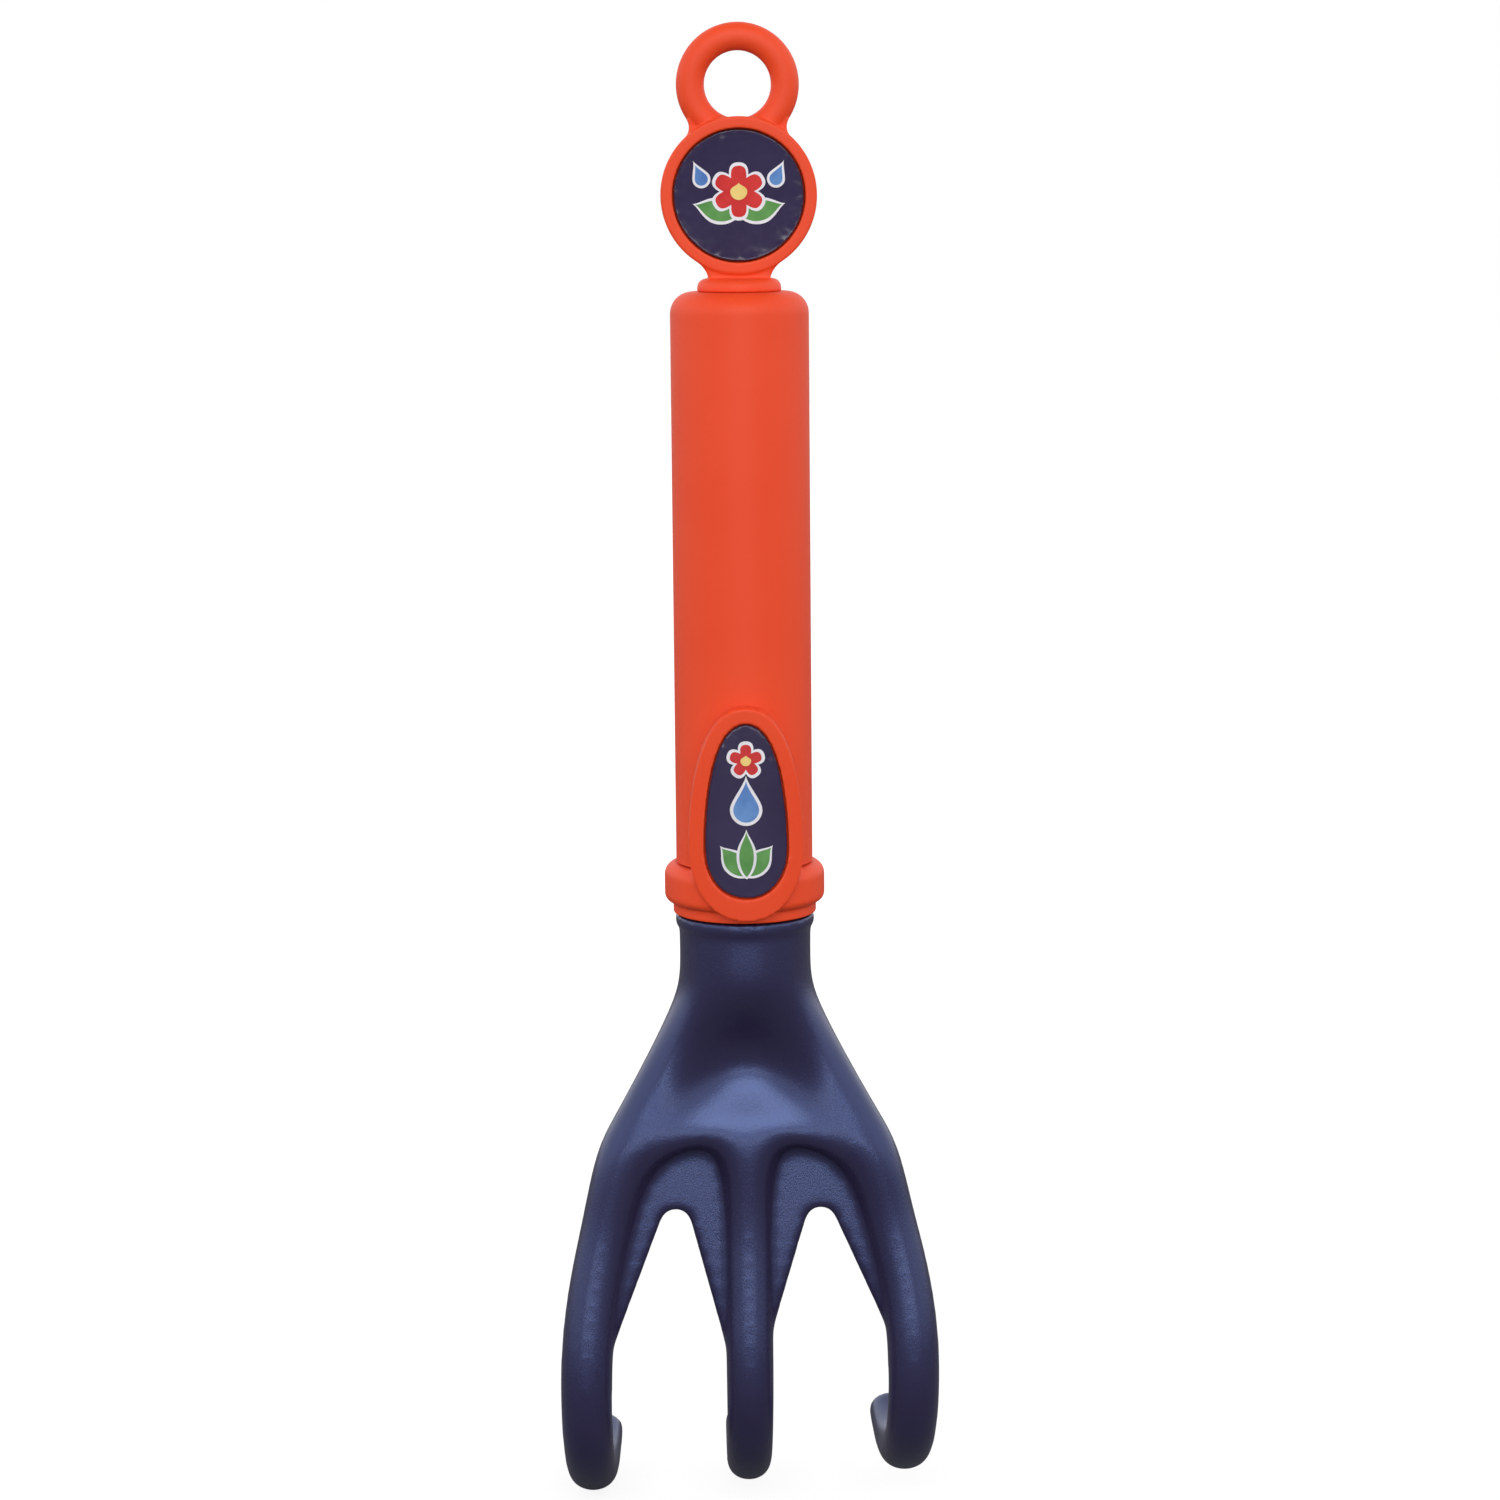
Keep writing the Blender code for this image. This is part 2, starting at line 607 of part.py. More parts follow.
def knuckle_ring():
    """Control points where the palm ends: one square for each tine, with the webs between."""
    outer = OUTER_TINE_RADIUS * SQUARE_GROWTH
    middle = MIDDLE_TINE_RADIUS * SQUARE_GROWTH
    across = [KNUCKLE_SPREAD + outer, KNUCKLE_SPREAD - outer, middle]
    arch = KNUCKLE_LEVEL + ARCH_RISE
    levels = [KNUCKLE_LEVEL + SHOULDER_RISE, arch - KNUCKLE_DROP, arch]
    depths = [outer, outer, middle]
    half = list(zip(across, levels, depths))
    row = [(-x, z, d) for x, z, d in half] + [(x, z, d) for x, z, d in reversed(half)]
    front = [Vector((x, -CLAW_FORWARD - KNUCKLE_FORWARD - d, z)) for x, z, d in row]
    back = [Vector((x, -CLAW_FORWARD + d, z)) for x, z, d in row]
    return front, back


def palm_ring(share):
    """A section between the neck and the knuckles, hollowed in front for the saddle."""
    neck_front, neck_back = neck_ring(HEAD_NECK_RADIUS, NECK_END)
    knuckle_front, knuckle_back = knuckle_ring()
    spread = share ** PALM_FLARE
    flatten = math.sin(share * math.pi / 2)
    hollow = SADDLE_DEPTH * max(0.0, math.sin(share * math.pi)) ** SADDLE_BOW
    front = []
    back = []
    for column in range(COLUMNS):
        centred = SADDLE_ACROSS[min(column, COLUMNS - 1 - column)]
        for row, start, end in ((front, neck_front, knuckle_front), (back, neck_back, knuckle_back)):
            near = start[column]
            far = end[column]
            x = near.x + (far.x - near.x) * spread
            y = near.y + (far.y - near.y) * flatten
            z = near.z + (far.z - near.z) * share
            if row is front:
                y += hollow * centred
            row.append(Vector((x, y, z)))
    return front, back


def tine_reach(share):
    """Distance of an outer tine from the middle, from the knuckle (0) to the bend (1)."""
    return TINE_SPREAD - (TINE_SPREAD - KNUCKLE_SPREAD) * (1.0 - share) ** TINE_BOW


def tine_length(side):
    """Length of the left (-1), middle (0) or right (1) tine down to its bend."""
    return TINE_LENGTH - TINE_TRIM[side + 1]


def tine_lean(side, share):
    """How far a tine comes forward for its way down, from the knuckle (0) to the bend (1)."""
    return TINE_ARCH * ARCH_BOW * share ** (ARCH_BOW - 1.0) / tine_length(side)


def tine_path(side, radius):
    """Centre, sideways and frontward directions and radius along one tine, from knuckle to tip."""
    stations = []
    for share in (0.25, 0.5, 0.75, 1.0):
        spreading = TINE_BOW * (TINE_SPREAD - KNUCKLE_SPREAD) * (1.0 - share) ** (TINE_BOW - 1.0)
        slope = side * spreading / tine_length(side)
        forward = CLAW_FORWARD + TINE_ARCH * share ** ARCH_BOW
        centre = Vector((side * tine_reach(share), -forward, TINE_START - tine_length(side) * share))
        sideways = Vector((1.0, 0.0, slope)).normalized()
        stations.append((centre, sideways, Vector((0, -1, tine_lean(side, share))).normalized(), radius))
    backward = Vector((-side * math.sin(TOE_IN), math.cos(TOE_IN), 0))
    sideways = Vector((math.cos(TOE_IN), side * math.sin(TOE_IN), 0))
    down = Vector((0, 0, -1))
    entry = math.atan(tine_lean(side, 1.0))
    step = (BEND_ANGLE + entry) / BEND_STEPS
    reach = BEND_RADIUS * ring_growth(step)
    pivot = stations[-1][0] + BEND_RADIUS * (down * math.sin(entry) + backward * math.cos(entry))
    for number in range(1, BEND_STEPS + 1):
        angle = step * number - entry
        centre = pivot + reach * (down * math.sin(angle) - backward * math.cos(angle))
        outward = down * math.sin(angle) - backward * math.cos(angle)
        taper = 1.0 + (TIP_TAPER - 1.0) * number / BEND_STEPS
        stations.append((centre, sideways, outward, radius * taper))
    return stations


def tine_section(centre, sideways, outward, radius):
    """The four control points round a tine, in the order of the knuckle's square."""
    half = radius * SQUARE_GROWTH
    corners = ((-1, 1), (1, 1), (1, -1), (-1, -1))
    return [centre + sideways * half * across + outward * half * out for across, out in corners]


def bridge(body, first, second):
    """Quads between two rings of the cage."""
    for index in range(len(first)):
        after = (index + 1) % len(first)
        body.faces.new((first[index], first[after], second[after], second[index]))


def crease_ring(body, ring):
    crease = body.edges.layers.float.get("crease_edge") or body.edges.layers.float.new("crease_edge")
    for index, vertex in enumerate(ring):
        edge = body.edges.get((vertex, ring[(index + 1) % len(ring)]))
        edge[crease] = 1.0


def claw_cage():
    """Coarse cage of neck, palm and tines: a loft that splits into three fingers."""
    rows = [neck_ring(HEAD_NECK_RADIUS, (LIP_TOP + LIP_FOOT) / 2)]
    rows.append(neck_ring(HEAD_NECK_RADIUS, (LIP_FOOT + NECK_END) / 2))
    rows += [palm_ring(number / PALM_STEPS) for number in range(PALM_STEPS + 1)]
    body = bmesh.new()
    rings = []
    for front, back in rows:
        rings.append([body.verts.new(point) for point in front + back[::-1]])
    body.faces.new(rings[0])
    for first, second in zip(rings, rings[1:]):
        bridge(body, first, second)
    knuckle = rings[-1]
    front = knuckle[:COLUMNS]
    back = knuckle[:COLUMNS - 1:-1]
    for column in (1, 3):
        body.faces.new((front[column], front[column + 1], back[column + 1], back[column]))
    creased = [rings[0]]
    tines = ((0, -1, OUTER_TINE_RADIUS), (2, 0, MIDDLE_TINE_RADIUS), (4, 1, OUTER_TINE_RADIUS))
    for column, side, radius in tines:
        ring = [front[column], front[column + 1], back[column + 1], back[column]]
        for station in tine_path(side, radius):
            following = [body.verts.new(point) for point in tine_section(*station)]
            bridge(body, ring, following)
            ring = following
        body.faces.new(ring)
        creased.append(ring)
    for ring in creased:
        crease_ring(body, ring)
    bmesh.ops.recalc_face_normals(body, faces=body.faces)
    mesh = bpy.data.meshes.new("tine_head")
    body.to_mesh(mesh)
    body.free()
    return mesh


def web_outline(side):
    """Front outline of one web, from inside the palm down both tines, round the crotch."""
    crotch_x = (KNUCKLE_SPREAD - OUTER_TINE_RADIUS + MIDDLE_TINE_RADIUS) / 2 + CROTCH_SHIFT
    crotch_z = KNUCKLE_LEVEL - CROTCH_DEPTH - CROTCH_RADIUS
    length = tine_length(side)
    low = TINE_START - length + WEB_END
    top = KNUCKLE_LEVEL + WEB_ROOT
    outer_low, outer_high = [tine_reach((TINE_START - z) / length) for z in (low, crotch_z)]
    points = [(0.0, low), (MIDDLE_TINE_RADIUS - WEB_TUCK, low)]
    points += arc(crotch_x, crotch_z, CROTCH_RADIUS, 165, 18, 10)
    points += [(outer_low - OUTER_TINE_RADIUS + WEB_TUCK, low), (outer_low, low), (outer_high, crotch_z)]
    points += [(KNUCKLE_SPREAD, KNUCKLE_LEVEL), (MIDDLE_TINE_RADIUS * 2, top), (0.0, top)]
    return [(side * x, z) for x, z in points]


def web(side):
    name = "web_left" if side < 0 else "web_right"
    curve = polygon(name, web_outline(side), WEB_THICKNESS / 2)
    depth = -CLAW_FORWARD + WEB_BEHIND
    lean = Matrix.Translation((0, depth, KNUCKLE_LEVEL)) @ Matrix.Rotation(-WEB_LEAN, 4, "X")
    return plate_from_curve(name, curve, lean @ Matrix.Translation((0, 0, -KNUCKLE_LEVEL)) @ FACE_FORWARD)


def spigot():
    """Turned spigot with its lip and barb, flats for the socket and a slot that lets the barb close."""
    barb_top = SHANK_TOP + BARB_LENGTH
    inner = HEAD_NECK_RADIUS - LIP_HEIGHT / 2
    profile = [(0, barb_top), (BARB_TIP_RADIUS, barb_top), (BARB_RADIUS, SHANK_TOP + BARB_LAND)]
    profile += [(BARB_RADIUS, SHANK_TOP), (SHANK_RADIUS, SHANK_TOP), (SHANK_RADIUS, SPIGOT_BASE)]
    profile += [(SPIGOT_RADIUS, SPIGOT_BASE), (SPIGOT_RADIUS, LIP_TOP), (LIP_RADIUS, LIP_TOP)]
    profile += [(LIP_RADIUS, LIP_FOOT), (inner, LIP_FOOT - LIP_HEIGHT), (0, LIP_FOOT - LIP_HEIGHT)]
    post = turned("spigot", profile)
    for side in (-1, 1):
        flat = side * SPIGOT_FLAT
        far = side * SHELL_LIMIT
        key = block(f"spigot_flat_{side}", (-SHELL_LIMIT, min(flat, far), LIP_TOP + GAP / 2),
                    (SHELL_LIMIT, max(flat, far), SPIGOT_BASE + SHANK_LENGTH / 2))
        cut(post, key)
    slot = block("spigot_slot", (-SHELL_LIMIT, -SLOT_WIDTH / 2, SPIGOT_BASE),
                 (SHELL_LIMIT, SLOT_WIDTH / 2, barb_top + GAP))
    cut(post, slot)
    return post


def tine_head():
    head = place("tine_head", claw_cage(), NAVY_PLASTIC)
    smooth = head.modifiers.new("smooth", "SUBSURF")
    smooth.levels = 2
    smooth.render_levels = 2
    for side in (-1, 1):
        join(head, web(side))
    join(head, spigot())


def stand_on_origin():
    """Move the tool's axis so that the origin is under the middle of the whole tool."""
    bpy.context.view_layer.update()
    graph = bpy.context.evaluated_depsgraph_get()
    corners = []
    for part in PARTS.objects:
        if part.type == "MESH":
            solid = part.evaluated_get(graph)
            corners += [solid.matrix_world @ vertex.co for vertex in solid.data.vertices]
    low = Vector([min(corner[axis] for corner in corners) for axis in range(3)])
    high = Vector([max(corner[axis] for corner in corners) for axis in range(3)])
    AXIS.location = (-(low.x + high.x) / 2, -(low.y + high.y) / 2, -low.z)
    print("size", [round(value / MM, 2) for value in high - low], "axis at", AXIS.location[:])


front_shell()
rear_shell()
ferrule()
teardrop_badge()
hanger()
round_badge()
tine_head()

for piece in PARTS.objects:
    if piece.type == "MESH":
        weld(piece)
        piece.data.shade_smooth()
        piece.data.set_sharp_from_angle(angle=math.radians(35))

stand_on_origin()
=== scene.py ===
# %% [markdown]
# # A kids' hand cultivator, dressed for its picture
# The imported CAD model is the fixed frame: seven moulded pieces on one rigid body. This lesson gives
# each of them its finished surface. Edges get the small radii that a mould leaves, the plastics get
# their grain, and the two label recesses get printed film with a garden design.

# %% Load the frame and find the tool's axis
import math

import bpy
from mathutils import Matrix, Vector
from mathutils.kdtree import KDTree


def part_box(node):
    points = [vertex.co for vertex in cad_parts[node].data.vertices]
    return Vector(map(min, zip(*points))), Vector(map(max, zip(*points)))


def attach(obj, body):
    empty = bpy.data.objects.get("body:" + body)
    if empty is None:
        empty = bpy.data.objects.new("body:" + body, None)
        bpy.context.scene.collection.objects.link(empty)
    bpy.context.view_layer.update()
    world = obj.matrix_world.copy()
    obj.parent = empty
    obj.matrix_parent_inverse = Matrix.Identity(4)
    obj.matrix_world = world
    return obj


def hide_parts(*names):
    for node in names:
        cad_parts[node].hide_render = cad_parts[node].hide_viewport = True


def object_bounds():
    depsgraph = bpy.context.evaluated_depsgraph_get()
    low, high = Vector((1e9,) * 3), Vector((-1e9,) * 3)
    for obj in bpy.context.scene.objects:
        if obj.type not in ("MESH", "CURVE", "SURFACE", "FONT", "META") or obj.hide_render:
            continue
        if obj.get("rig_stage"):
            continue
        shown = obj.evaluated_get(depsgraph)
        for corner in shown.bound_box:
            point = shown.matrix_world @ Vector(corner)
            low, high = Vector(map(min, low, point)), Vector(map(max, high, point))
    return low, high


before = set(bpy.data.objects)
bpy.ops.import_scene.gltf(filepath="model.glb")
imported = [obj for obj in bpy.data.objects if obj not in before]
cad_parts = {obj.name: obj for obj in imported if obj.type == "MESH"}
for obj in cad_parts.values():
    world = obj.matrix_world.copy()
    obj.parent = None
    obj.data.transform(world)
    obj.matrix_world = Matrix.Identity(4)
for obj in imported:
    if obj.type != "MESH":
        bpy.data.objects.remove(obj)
CAD_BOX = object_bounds()
MM = 0.001

AXIS_Y = (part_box("grip_front_shell")[0].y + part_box("grip_rear_shell")[1].y) / 2
RIM_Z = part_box("ferrule")[0].z
print("axis at y", round(AXIS_Y / MM, 2), "mm; handle rim at z", round(RIM_Z / MM, 2), "mm")


def at(x, y, z):
    """A place given in millimetres from the tool's axis and the handle's lower rim."""
    return Vector((x * MM, AXIS_Y + y * MM, RIM_Z + z * MM))


# %% [markdown]
# ## The camera
# The photo looks at the upright tool from slightly above, with a long lens, so the camera comes
# first. Its distance and lens were fitted to the outline of the tool: the grip stays almost parallel,
# while the collar's lower rim shows as a shallow curve. A tiny roll repeats the tool's lean.

# %% Place the camera
VIEW_AIM = at(1.2, 0, 29.6)
VIEW_FROM = at(0, 0, 29.6)
VIEW_DISTANCE = 700 * MM
VIEW_AZIMUTH = math.radians(-1.5)
VIEW_ELEVATION = math.radians(9.0)
VIEW_ROLL = math.radians(-0.508)
VIEW_LENS = 92.52
SENSOR_WIDTH = 36.0
NEAREST_SEEN = 10 * MM

level = math.cos(VIEW_ELEVATION)
outward = Vector((math.sin(VIEW_AZIMUTH) * level, -math.cos(VIEW_AZIMUTH) * level,
                  math.sin(VIEW_ELEVATION)))
bpy.ops.object.camera_add(location=VIEW_FROM + VIEW_DISTANCE * outward)
camera = bpy.context.object
facing = (VIEW_AIM - camera.location).to_track_quat("-Z", "Y").to_matrix().to_4x4()
camera.matrix_world = Matrix.Translation(camera.location) @ facing @ Matrix.Rotation(VIEW_ROLL, 4, "Z")
camera.data.lens = VIEW_LENS
camera.data.sensor_width = SENSOR_WIDTH
camera.data.clip_start = NEAREST_SEEN
bpy.context.scene.camera = camera
print("camera at", [round(value / MM) for value in camera.location], "mm")

# %% [markdown]
# ## Helpers for modelling by hand
# Operators act on whatever is selected, so each helper first selects exactly one piece. Solids are
# cut and joined with Boolean modifiers that are applied at once, just as in a modelling session.
# The moulded skin is the important one: a voxel remesh turns a heap of joined solids into one skin,
# and smoothing that skin rounds every edge and fills every inner corner, as a moulding is.


# %% Selection and first solids
ROUND_SIDES = 160


def only(piece):
    """Select one object alone and make it active."""
    bpy.ops.object.select_all(action="DESELECT")
    piece.select_set(True)
    bpy.context.view_layer.objects.active = piece
    return piece


def settle(piece):
    """Put the object's place and turn into its mesh."""
    only(piece)
    bpy.ops.object.transform_apply(location=True, rotation=True, scale=True)
    return piece


def drum(name, radius, low, high, sides=ROUND_SIDES):
    """An upright cylinder on the tool's axis, between two heights."""
    bpy.ops.mesh.primitive_cylinder_add(vertices=sides, radius=radius * MM, depth=(high - low) * MM,
                                        location=at(0, 0, (low + high) / 2))
    piece = bpy.context.object
    piece.name = name
    return settle(piece)


def log(name, radius, start, end, sides=ROUND_SIDES):
    """A cylinder between two points given in metres."""
    run = end - start
    bpy.ops.mesh.primitive_cylinder_add(vertices=sides, radius=radius * MM, depth=run.length,
                                        location=(start + end) / 2,
                                        rotation=run.to_track_quat("Z", "Y").to_euler())
    piece = bpy.context.object
    piece.name = name
    return settle(piece)


def slab(name, low, high):
    """A box between two corners given in millimetres."""
    centre = [(a + b) / 2 for a, b in zip(low, high)]
    bpy.ops.mesh.primitive_cube_add(size=1.0, location=at(*centre))
    piece = bpy.context.object
    piece.name = name
    piece.scale = [(b - a) * MM for a, b in zip(low, high)]
    return settle(piece)


# %% Modifiers and Booleans
def apply(piece, modifier):
    """Make a modifier's result the piece's own mesh."""
    only(piece)
    bpy.ops.object.modifier_apply(modifier=modifier.name)


def carve(piece, tool, operation="DIFFERENCE"):
    """Boolean with another object, applied at once; the tool stays for the next cut."""
    modifier = piece.modifiers.new("carve", "BOOLEAN")
    modifier.operation = operation
    modifier.solver = "EXACT"
    modifier.object = tool
    apply(piece, modifier)


def discard(*tools):
    """Remove cutting tools that have done their work."""
    for tool in tools:
        bpy.data.objects.remove(tool, do_unlink=True)


def gather(name, *pieces):
    """Join objects into one object with a new name."""
    only(pieces[0])
    for piece in pieces[1:]:
        piece.select_set(True)
    bpy.ops.object.join()
    bpy.context.object.name = name
    return bpy.context.object


# %% The moulded skin
SKIN_VOXEL = 0.22
SKIN_PASSES = 6
SMOOTH_FACTOR = 0.5


def reskin(piece, voxel):
    """Replace the mesh by one closed skin of small squares."""
    remesh = piece.modifiers.new("skin", "REMESH")
    remesh.mode = "VOXEL"
    remesh.voxel_size = voxel * MM
    apply(piece, remesh)


def soften(piece, passes, group=""):
    """Smooth a mesh a number of times, all over or where a vertex group says."""
    smooth = piece.modifiers.new("soften", "SMOOTH")
    smooth.factor = SMOOTH_FACTOR
    smooth.iterations = passes
    smooth.vertex_group = group
    apply(piece, smooth)


def moulded_skin(piece, voxel, passes):
    """One closed skin round all that the piece holds, with every edge softened."""
    reskin(piece, voxel)
    soften(piece, passes)
    only(piece)
    bpy.ops.object.shade_smooth()
    print(piece.name, "has", sum(len(face.vertices) - 2 for face in piece.data.polygons), "triangles")
    return piece


# %% Rounding chosen edges
HEIGHT_SLACK = 0.1


def unpick(piece):
    """Make a piece active with none of its mesh selected: a new primitive is selected all over."""
    only(piece)
    for elements in (piece.data.vertices, piece.data.edges, piece.data.polygons):
        elements.foreach_set("select", [False] * len(elements))


def round_edges(piece, level, width, segments):
    """Bevel the horizontal edges at a height in millimetres."""
    unpick(piece)
    for edge in piece.data.edges:
        ends = [piece.data.vertices[index].co for index in edge.vertices]
        heights = [(end.z - RIM_Z) / MM for end in ends]
        edge.select = all(abs(height - level) <= HEIGHT_SLACK for height in heights)
    bpy.ops.object.mode_set(mode="EDIT")
    bpy.ops.mesh.select_mode(type="EDGE")
    bpy.ops.mesh.bevel(offset=width * MM, segments=segments, profile=0.5, affect="EDGES")
    bpy.ops.object.mode_set(mode="OBJECT")


print("helpers ready; skins are made of squares of", SKIN_VOXEL, "mm")

# %% [markdown]
# ## The grip
# The handle's grip is two half shells of a plain tube with a rounded shoulder, closed along its
# sides. A turned profile would make the tube too, but the hand way is shorter: a cylinder, one bevel
# for the shoulder, an inset and an extrusion for the reduced end under the collar, and a bisect that
# leaves one half. Solidify then gives the half its wall.

# %% Make the two half shells
GRIP_RADIUS = 12.4
GRIP_LENGTH = 112.4
GRIP_WALL = 2.2
SHOULDER = 3.9
SHOULDER_STEPS = 12
SLEEVE_STEP = 1.3
SLEEVE_LENGTH = 9.5
SEAM = 0.06
GRIP_CREASE = math.radians(35)
SQUARE_ON = 0.9


def pick_faces(piece, wanted):
    """Select the faces whose normal and middle pass a test."""
    unpick(piece)
    for face in piece.data.polygons:
        face.select = wanted(face)


def half_shell(name, side):
    """One half of the grip: side is -1 for the front and +1 for the rear."""
    shell = drum(name, GRIP_RADIUS, SLEEVE_LENGTH, GRIP_LENGTH)
    round_edges(shell, GRIP_LENGTH, SHOULDER, SHOULDER_STEPS)
    pick_faces(shell, lambda face: face.normal.z < -SQUARE_ON)
    bpy.ops.object.mode_set(mode="EDIT")
    bpy.ops.mesh.select_mode(type="FACE")
    bpy.ops.mesh.inset(thickness=SLEEVE_STEP * MM)
    bpy.ops.mesh.extrude_region_move(TRANSFORM_OT_translate={"value": (0, 0, -SLEEVE_LENGTH * MM)})
    bpy.ops.mesh.delete(type="FACE")
    bpy.ops.mesh.select_all(action="SELECT")
    bpy.ops.mesh.bisect(plane_co=at(0, side * SEAM, 0), plane_no=(0, side, 0), clear_inner=True)
    bpy.ops.object.mode_set(mode="OBJECT")
    wall = shell.modifiers.new("wall", "SOLIDIFY")
    wall.thickness = GRIP_WALL * MM
    wall.offset = -1.0
    apply(shell, wall)
    only(shell)
    bpy.ops.object.shade_smooth_by_angle(angle=GRIP_CREASE)
    print(name, "has", len(shell.data.polygons), "faces")
    return shell


grip_front = half_shell("grip_front", -1)
grip_rear = half_shell("grip_rear", 1)

# %% [markdown]
# ## The ferrule
# A stepped collar closes the foot of the grip. In front it carries a tongue: a raised egg-shaped
# frame for the lower label that runs up the grip and hangs over the collar. Its outline is a Bezier
# circle pulled into an egg; a wide cylinder crowns its face. All solids are cut first, then one
# moulded skin joins them with soft corners.

# %% The egg outline and its crown
TONGUE_FOOT = 0.8
TONGUE_CHIN = 1.3
TONGUE_BORDER = 3.0
TONGUE_FRONT = 15.5
TONGUE_LEAN = math.radians(1.5)
LABEL_LENGTH = 31.4
LABEL_HALF_WIDTH = 7.3
LABEL_BELLY = 8.9
EGG_TOP_PULL = 0.85
EGG_SIDE_PULL = 0.30
EGG_FOOT_PULL = 0.60
LABEL_SINK = 0.4
LABEL_THICKNESS = 0.6
CROWN_RADIUS = 24.0
CROWN_SIDES = 360
CURVE_STEPS = 16
MERGE = 0.002 * MM
TONGUE_MIDDLE = TONGUE_FOOT + TONGUE_CHIN + TONGUE_BORDER + LABEL_LENGTH / 2
TONGUE_FACE = (Matrix.Translation(at(0, -TONGUE_FRONT, TONGUE_MIDDLE))
               @ Matrix.Rotation(math.pi / 2 + TONGUE_LEAN, 4, "X"))


def prism(name, knots, depth, frame_matrix):
    """A closed prism from Bezier knots in millimetres, standing on both sides of a face."""
    bpy.ops.curve.primitive_bezier_circle_add(radius=1.0)
    outline = bpy.context.object
    outline.name = name
    outline.data.dimensions = "2D"
    outline.data.fill_mode = "BOTH"
    outline.data.extrude = depth * MM
    outline.data.resolution_u = CURVE_STEPS
    spline = outline.data.splines[0]
    spline.bezier_points.add(len(knots) - len(spline.bezier_points))
    for point, (place, before, after) in zip(spline.bezier_points, knots):
        point.handle_left_type = "FREE"
        point.handle_right_type = "FREE"
        point.co = (place[0] * MM, place[1] * MM, 0)
        point.handle_left = ((place[0] + before[0]) * MM, (place[1] + before[1]) * MM, 0)
        point.handle_right = ((place[0] + after[0]) * MM, (place[1] + after[1]) * MM, 0)
    only(outline)
    bpy.ops.object.convert(target="MESH")
    piece = bpy.context.object
    bpy.ops.object.mode_set(mode="EDIT")
    bpy.ops.mesh.select_all(action="SELECT")
    bpy.ops.mesh.remove_doubles(threshold=MERGE)
    bpy.ops.mesh.normals_make_consistent(inside=False)
    bpy.ops.object.mode_set(mode="OBJECT")
    piece.matrix_world = frame_matrix
    return settle(piece)


def egg_knots(grow, chin=0.0):
    """The label's egg outline, grown by a border and lengthened at its foot."""
    top = LABEL_LENGTH / 2 + grow
    foot = -LABEL_LENGTH / 2 - grow - chin
    belly = -LABEL_LENGTH / 2 + LABEL_BELLY
    width = LABEL_HALF_WIDTH + grow
    top_pull = EGG_TOP_PULL * width
    side_pull = EGG_SIDE_PULL * (top - belly)
    foot_side_pull = EGG_FOOT_PULL * (belly - foot)
    foot_pull = EGG_FOOT_PULL * width
    return [((0, top), (-top_pull, 0), (top_pull, 0)),
            ((width, belly), (0, side_pull), (0, -foot_side_pull)),
            ((0, foot), (foot_pull, 0), (-foot_pull, 0)),
            ((-width, belly), (0, -foot_side_pull), (0, side_pull))]


def crown(name, sink):
    """The wide cylinder that crowns the tongue's face, sunk by a depth in millimetres."""
    reach = Vector((0, LABEL_LENGTH * MM, 0))
    back = Vector((0, 0, -CROWN_RADIUS * MM))
    return log(name, CROWN_RADIUS - sink, TONGUE_FACE @ (back - reach), TONGUE_FACE @ (back + reach),
               CROWN_SIDES)


print("tongue's middle is", round(TONGUE_MIDDLE, 2), "mm above the rim")

# %% Collar, rim and tongue in one skin
COLLAR_RADIUS = 14.55
COLLAR_FOOT = 2.05
COLLAR_HEIGHT = 9.2
COLLAR_TOP_ROUND = 2.2
COLLAR_FOOT_ROUND = 1.5
RIM_INSIDE = 1.0
RIM_RADIUS = 13.0
BORE_RADIUS = 11.4
SEAT_RADIUS = 12.7
SEAT_TOP = 60.0
PAST = 5.0
CUT_DEPTH = 12.4
EASE = 0.3
RECESS_DEPTH = LABEL_SINK + LABEL_THICKNESS + EASE

collar = drum("collar", COLLAR_RADIUS, COLLAR_FOOT, COLLAR_HEIGHT)
round_edges(collar, COLLAR_HEIGHT, COLLAR_TOP_ROUND, 8)
round_edges(collar, COLLAR_FOOT, COLLAR_FOOT_ROUND, 6)
rim = drum("rim", RIM_RADIUS, 0.0, COLLAR_HEIGHT - RIM_INSIDE)
tongue = prism("tongue", egg_knots(TONGUE_BORDER, TONGUE_CHIN), CUT_DEPTH, TONGUE_FACE)
face_crown = crown("face_crown", 0.0)
carve(tongue, face_crown, "INTERSECT")
recess = prism("recess", egg_knots(EASE), CUT_DEPTH, TONGUE_FACE)
floor_crown = crown("floor_crown", RECESS_DEPTH)
carve(recess, floor_crown)
bore = drum("bore", BORE_RADIUS, -PAST, COLLAR_HEIGHT + PAST)
seat = drum("seat", SEAT_RADIUS, -PAST, SEAT_TOP)
for solid, way in ((collar, bore), (rim, bore), (tongue, seat)):
    carve(solid, way)
    carve(solid, recess)
discard(face_crown, recess, floor_crown, bore, seat)
ferrule = moulded_skin(gather("ferrule_skin", collar, rim, tongue), SKIN_VOXEL, SKIN_PASSES)

# %% [markdown]
# ## The hanger
# Ring, round frame, neck and flange are one moulding. The ring is a torus. The round frame is a
# cylinder with rounded edges, whose front is inset and pushed in for the label. Neck and ring meet the
# frame with round hollows, made by cutting cylinders out of blocks.

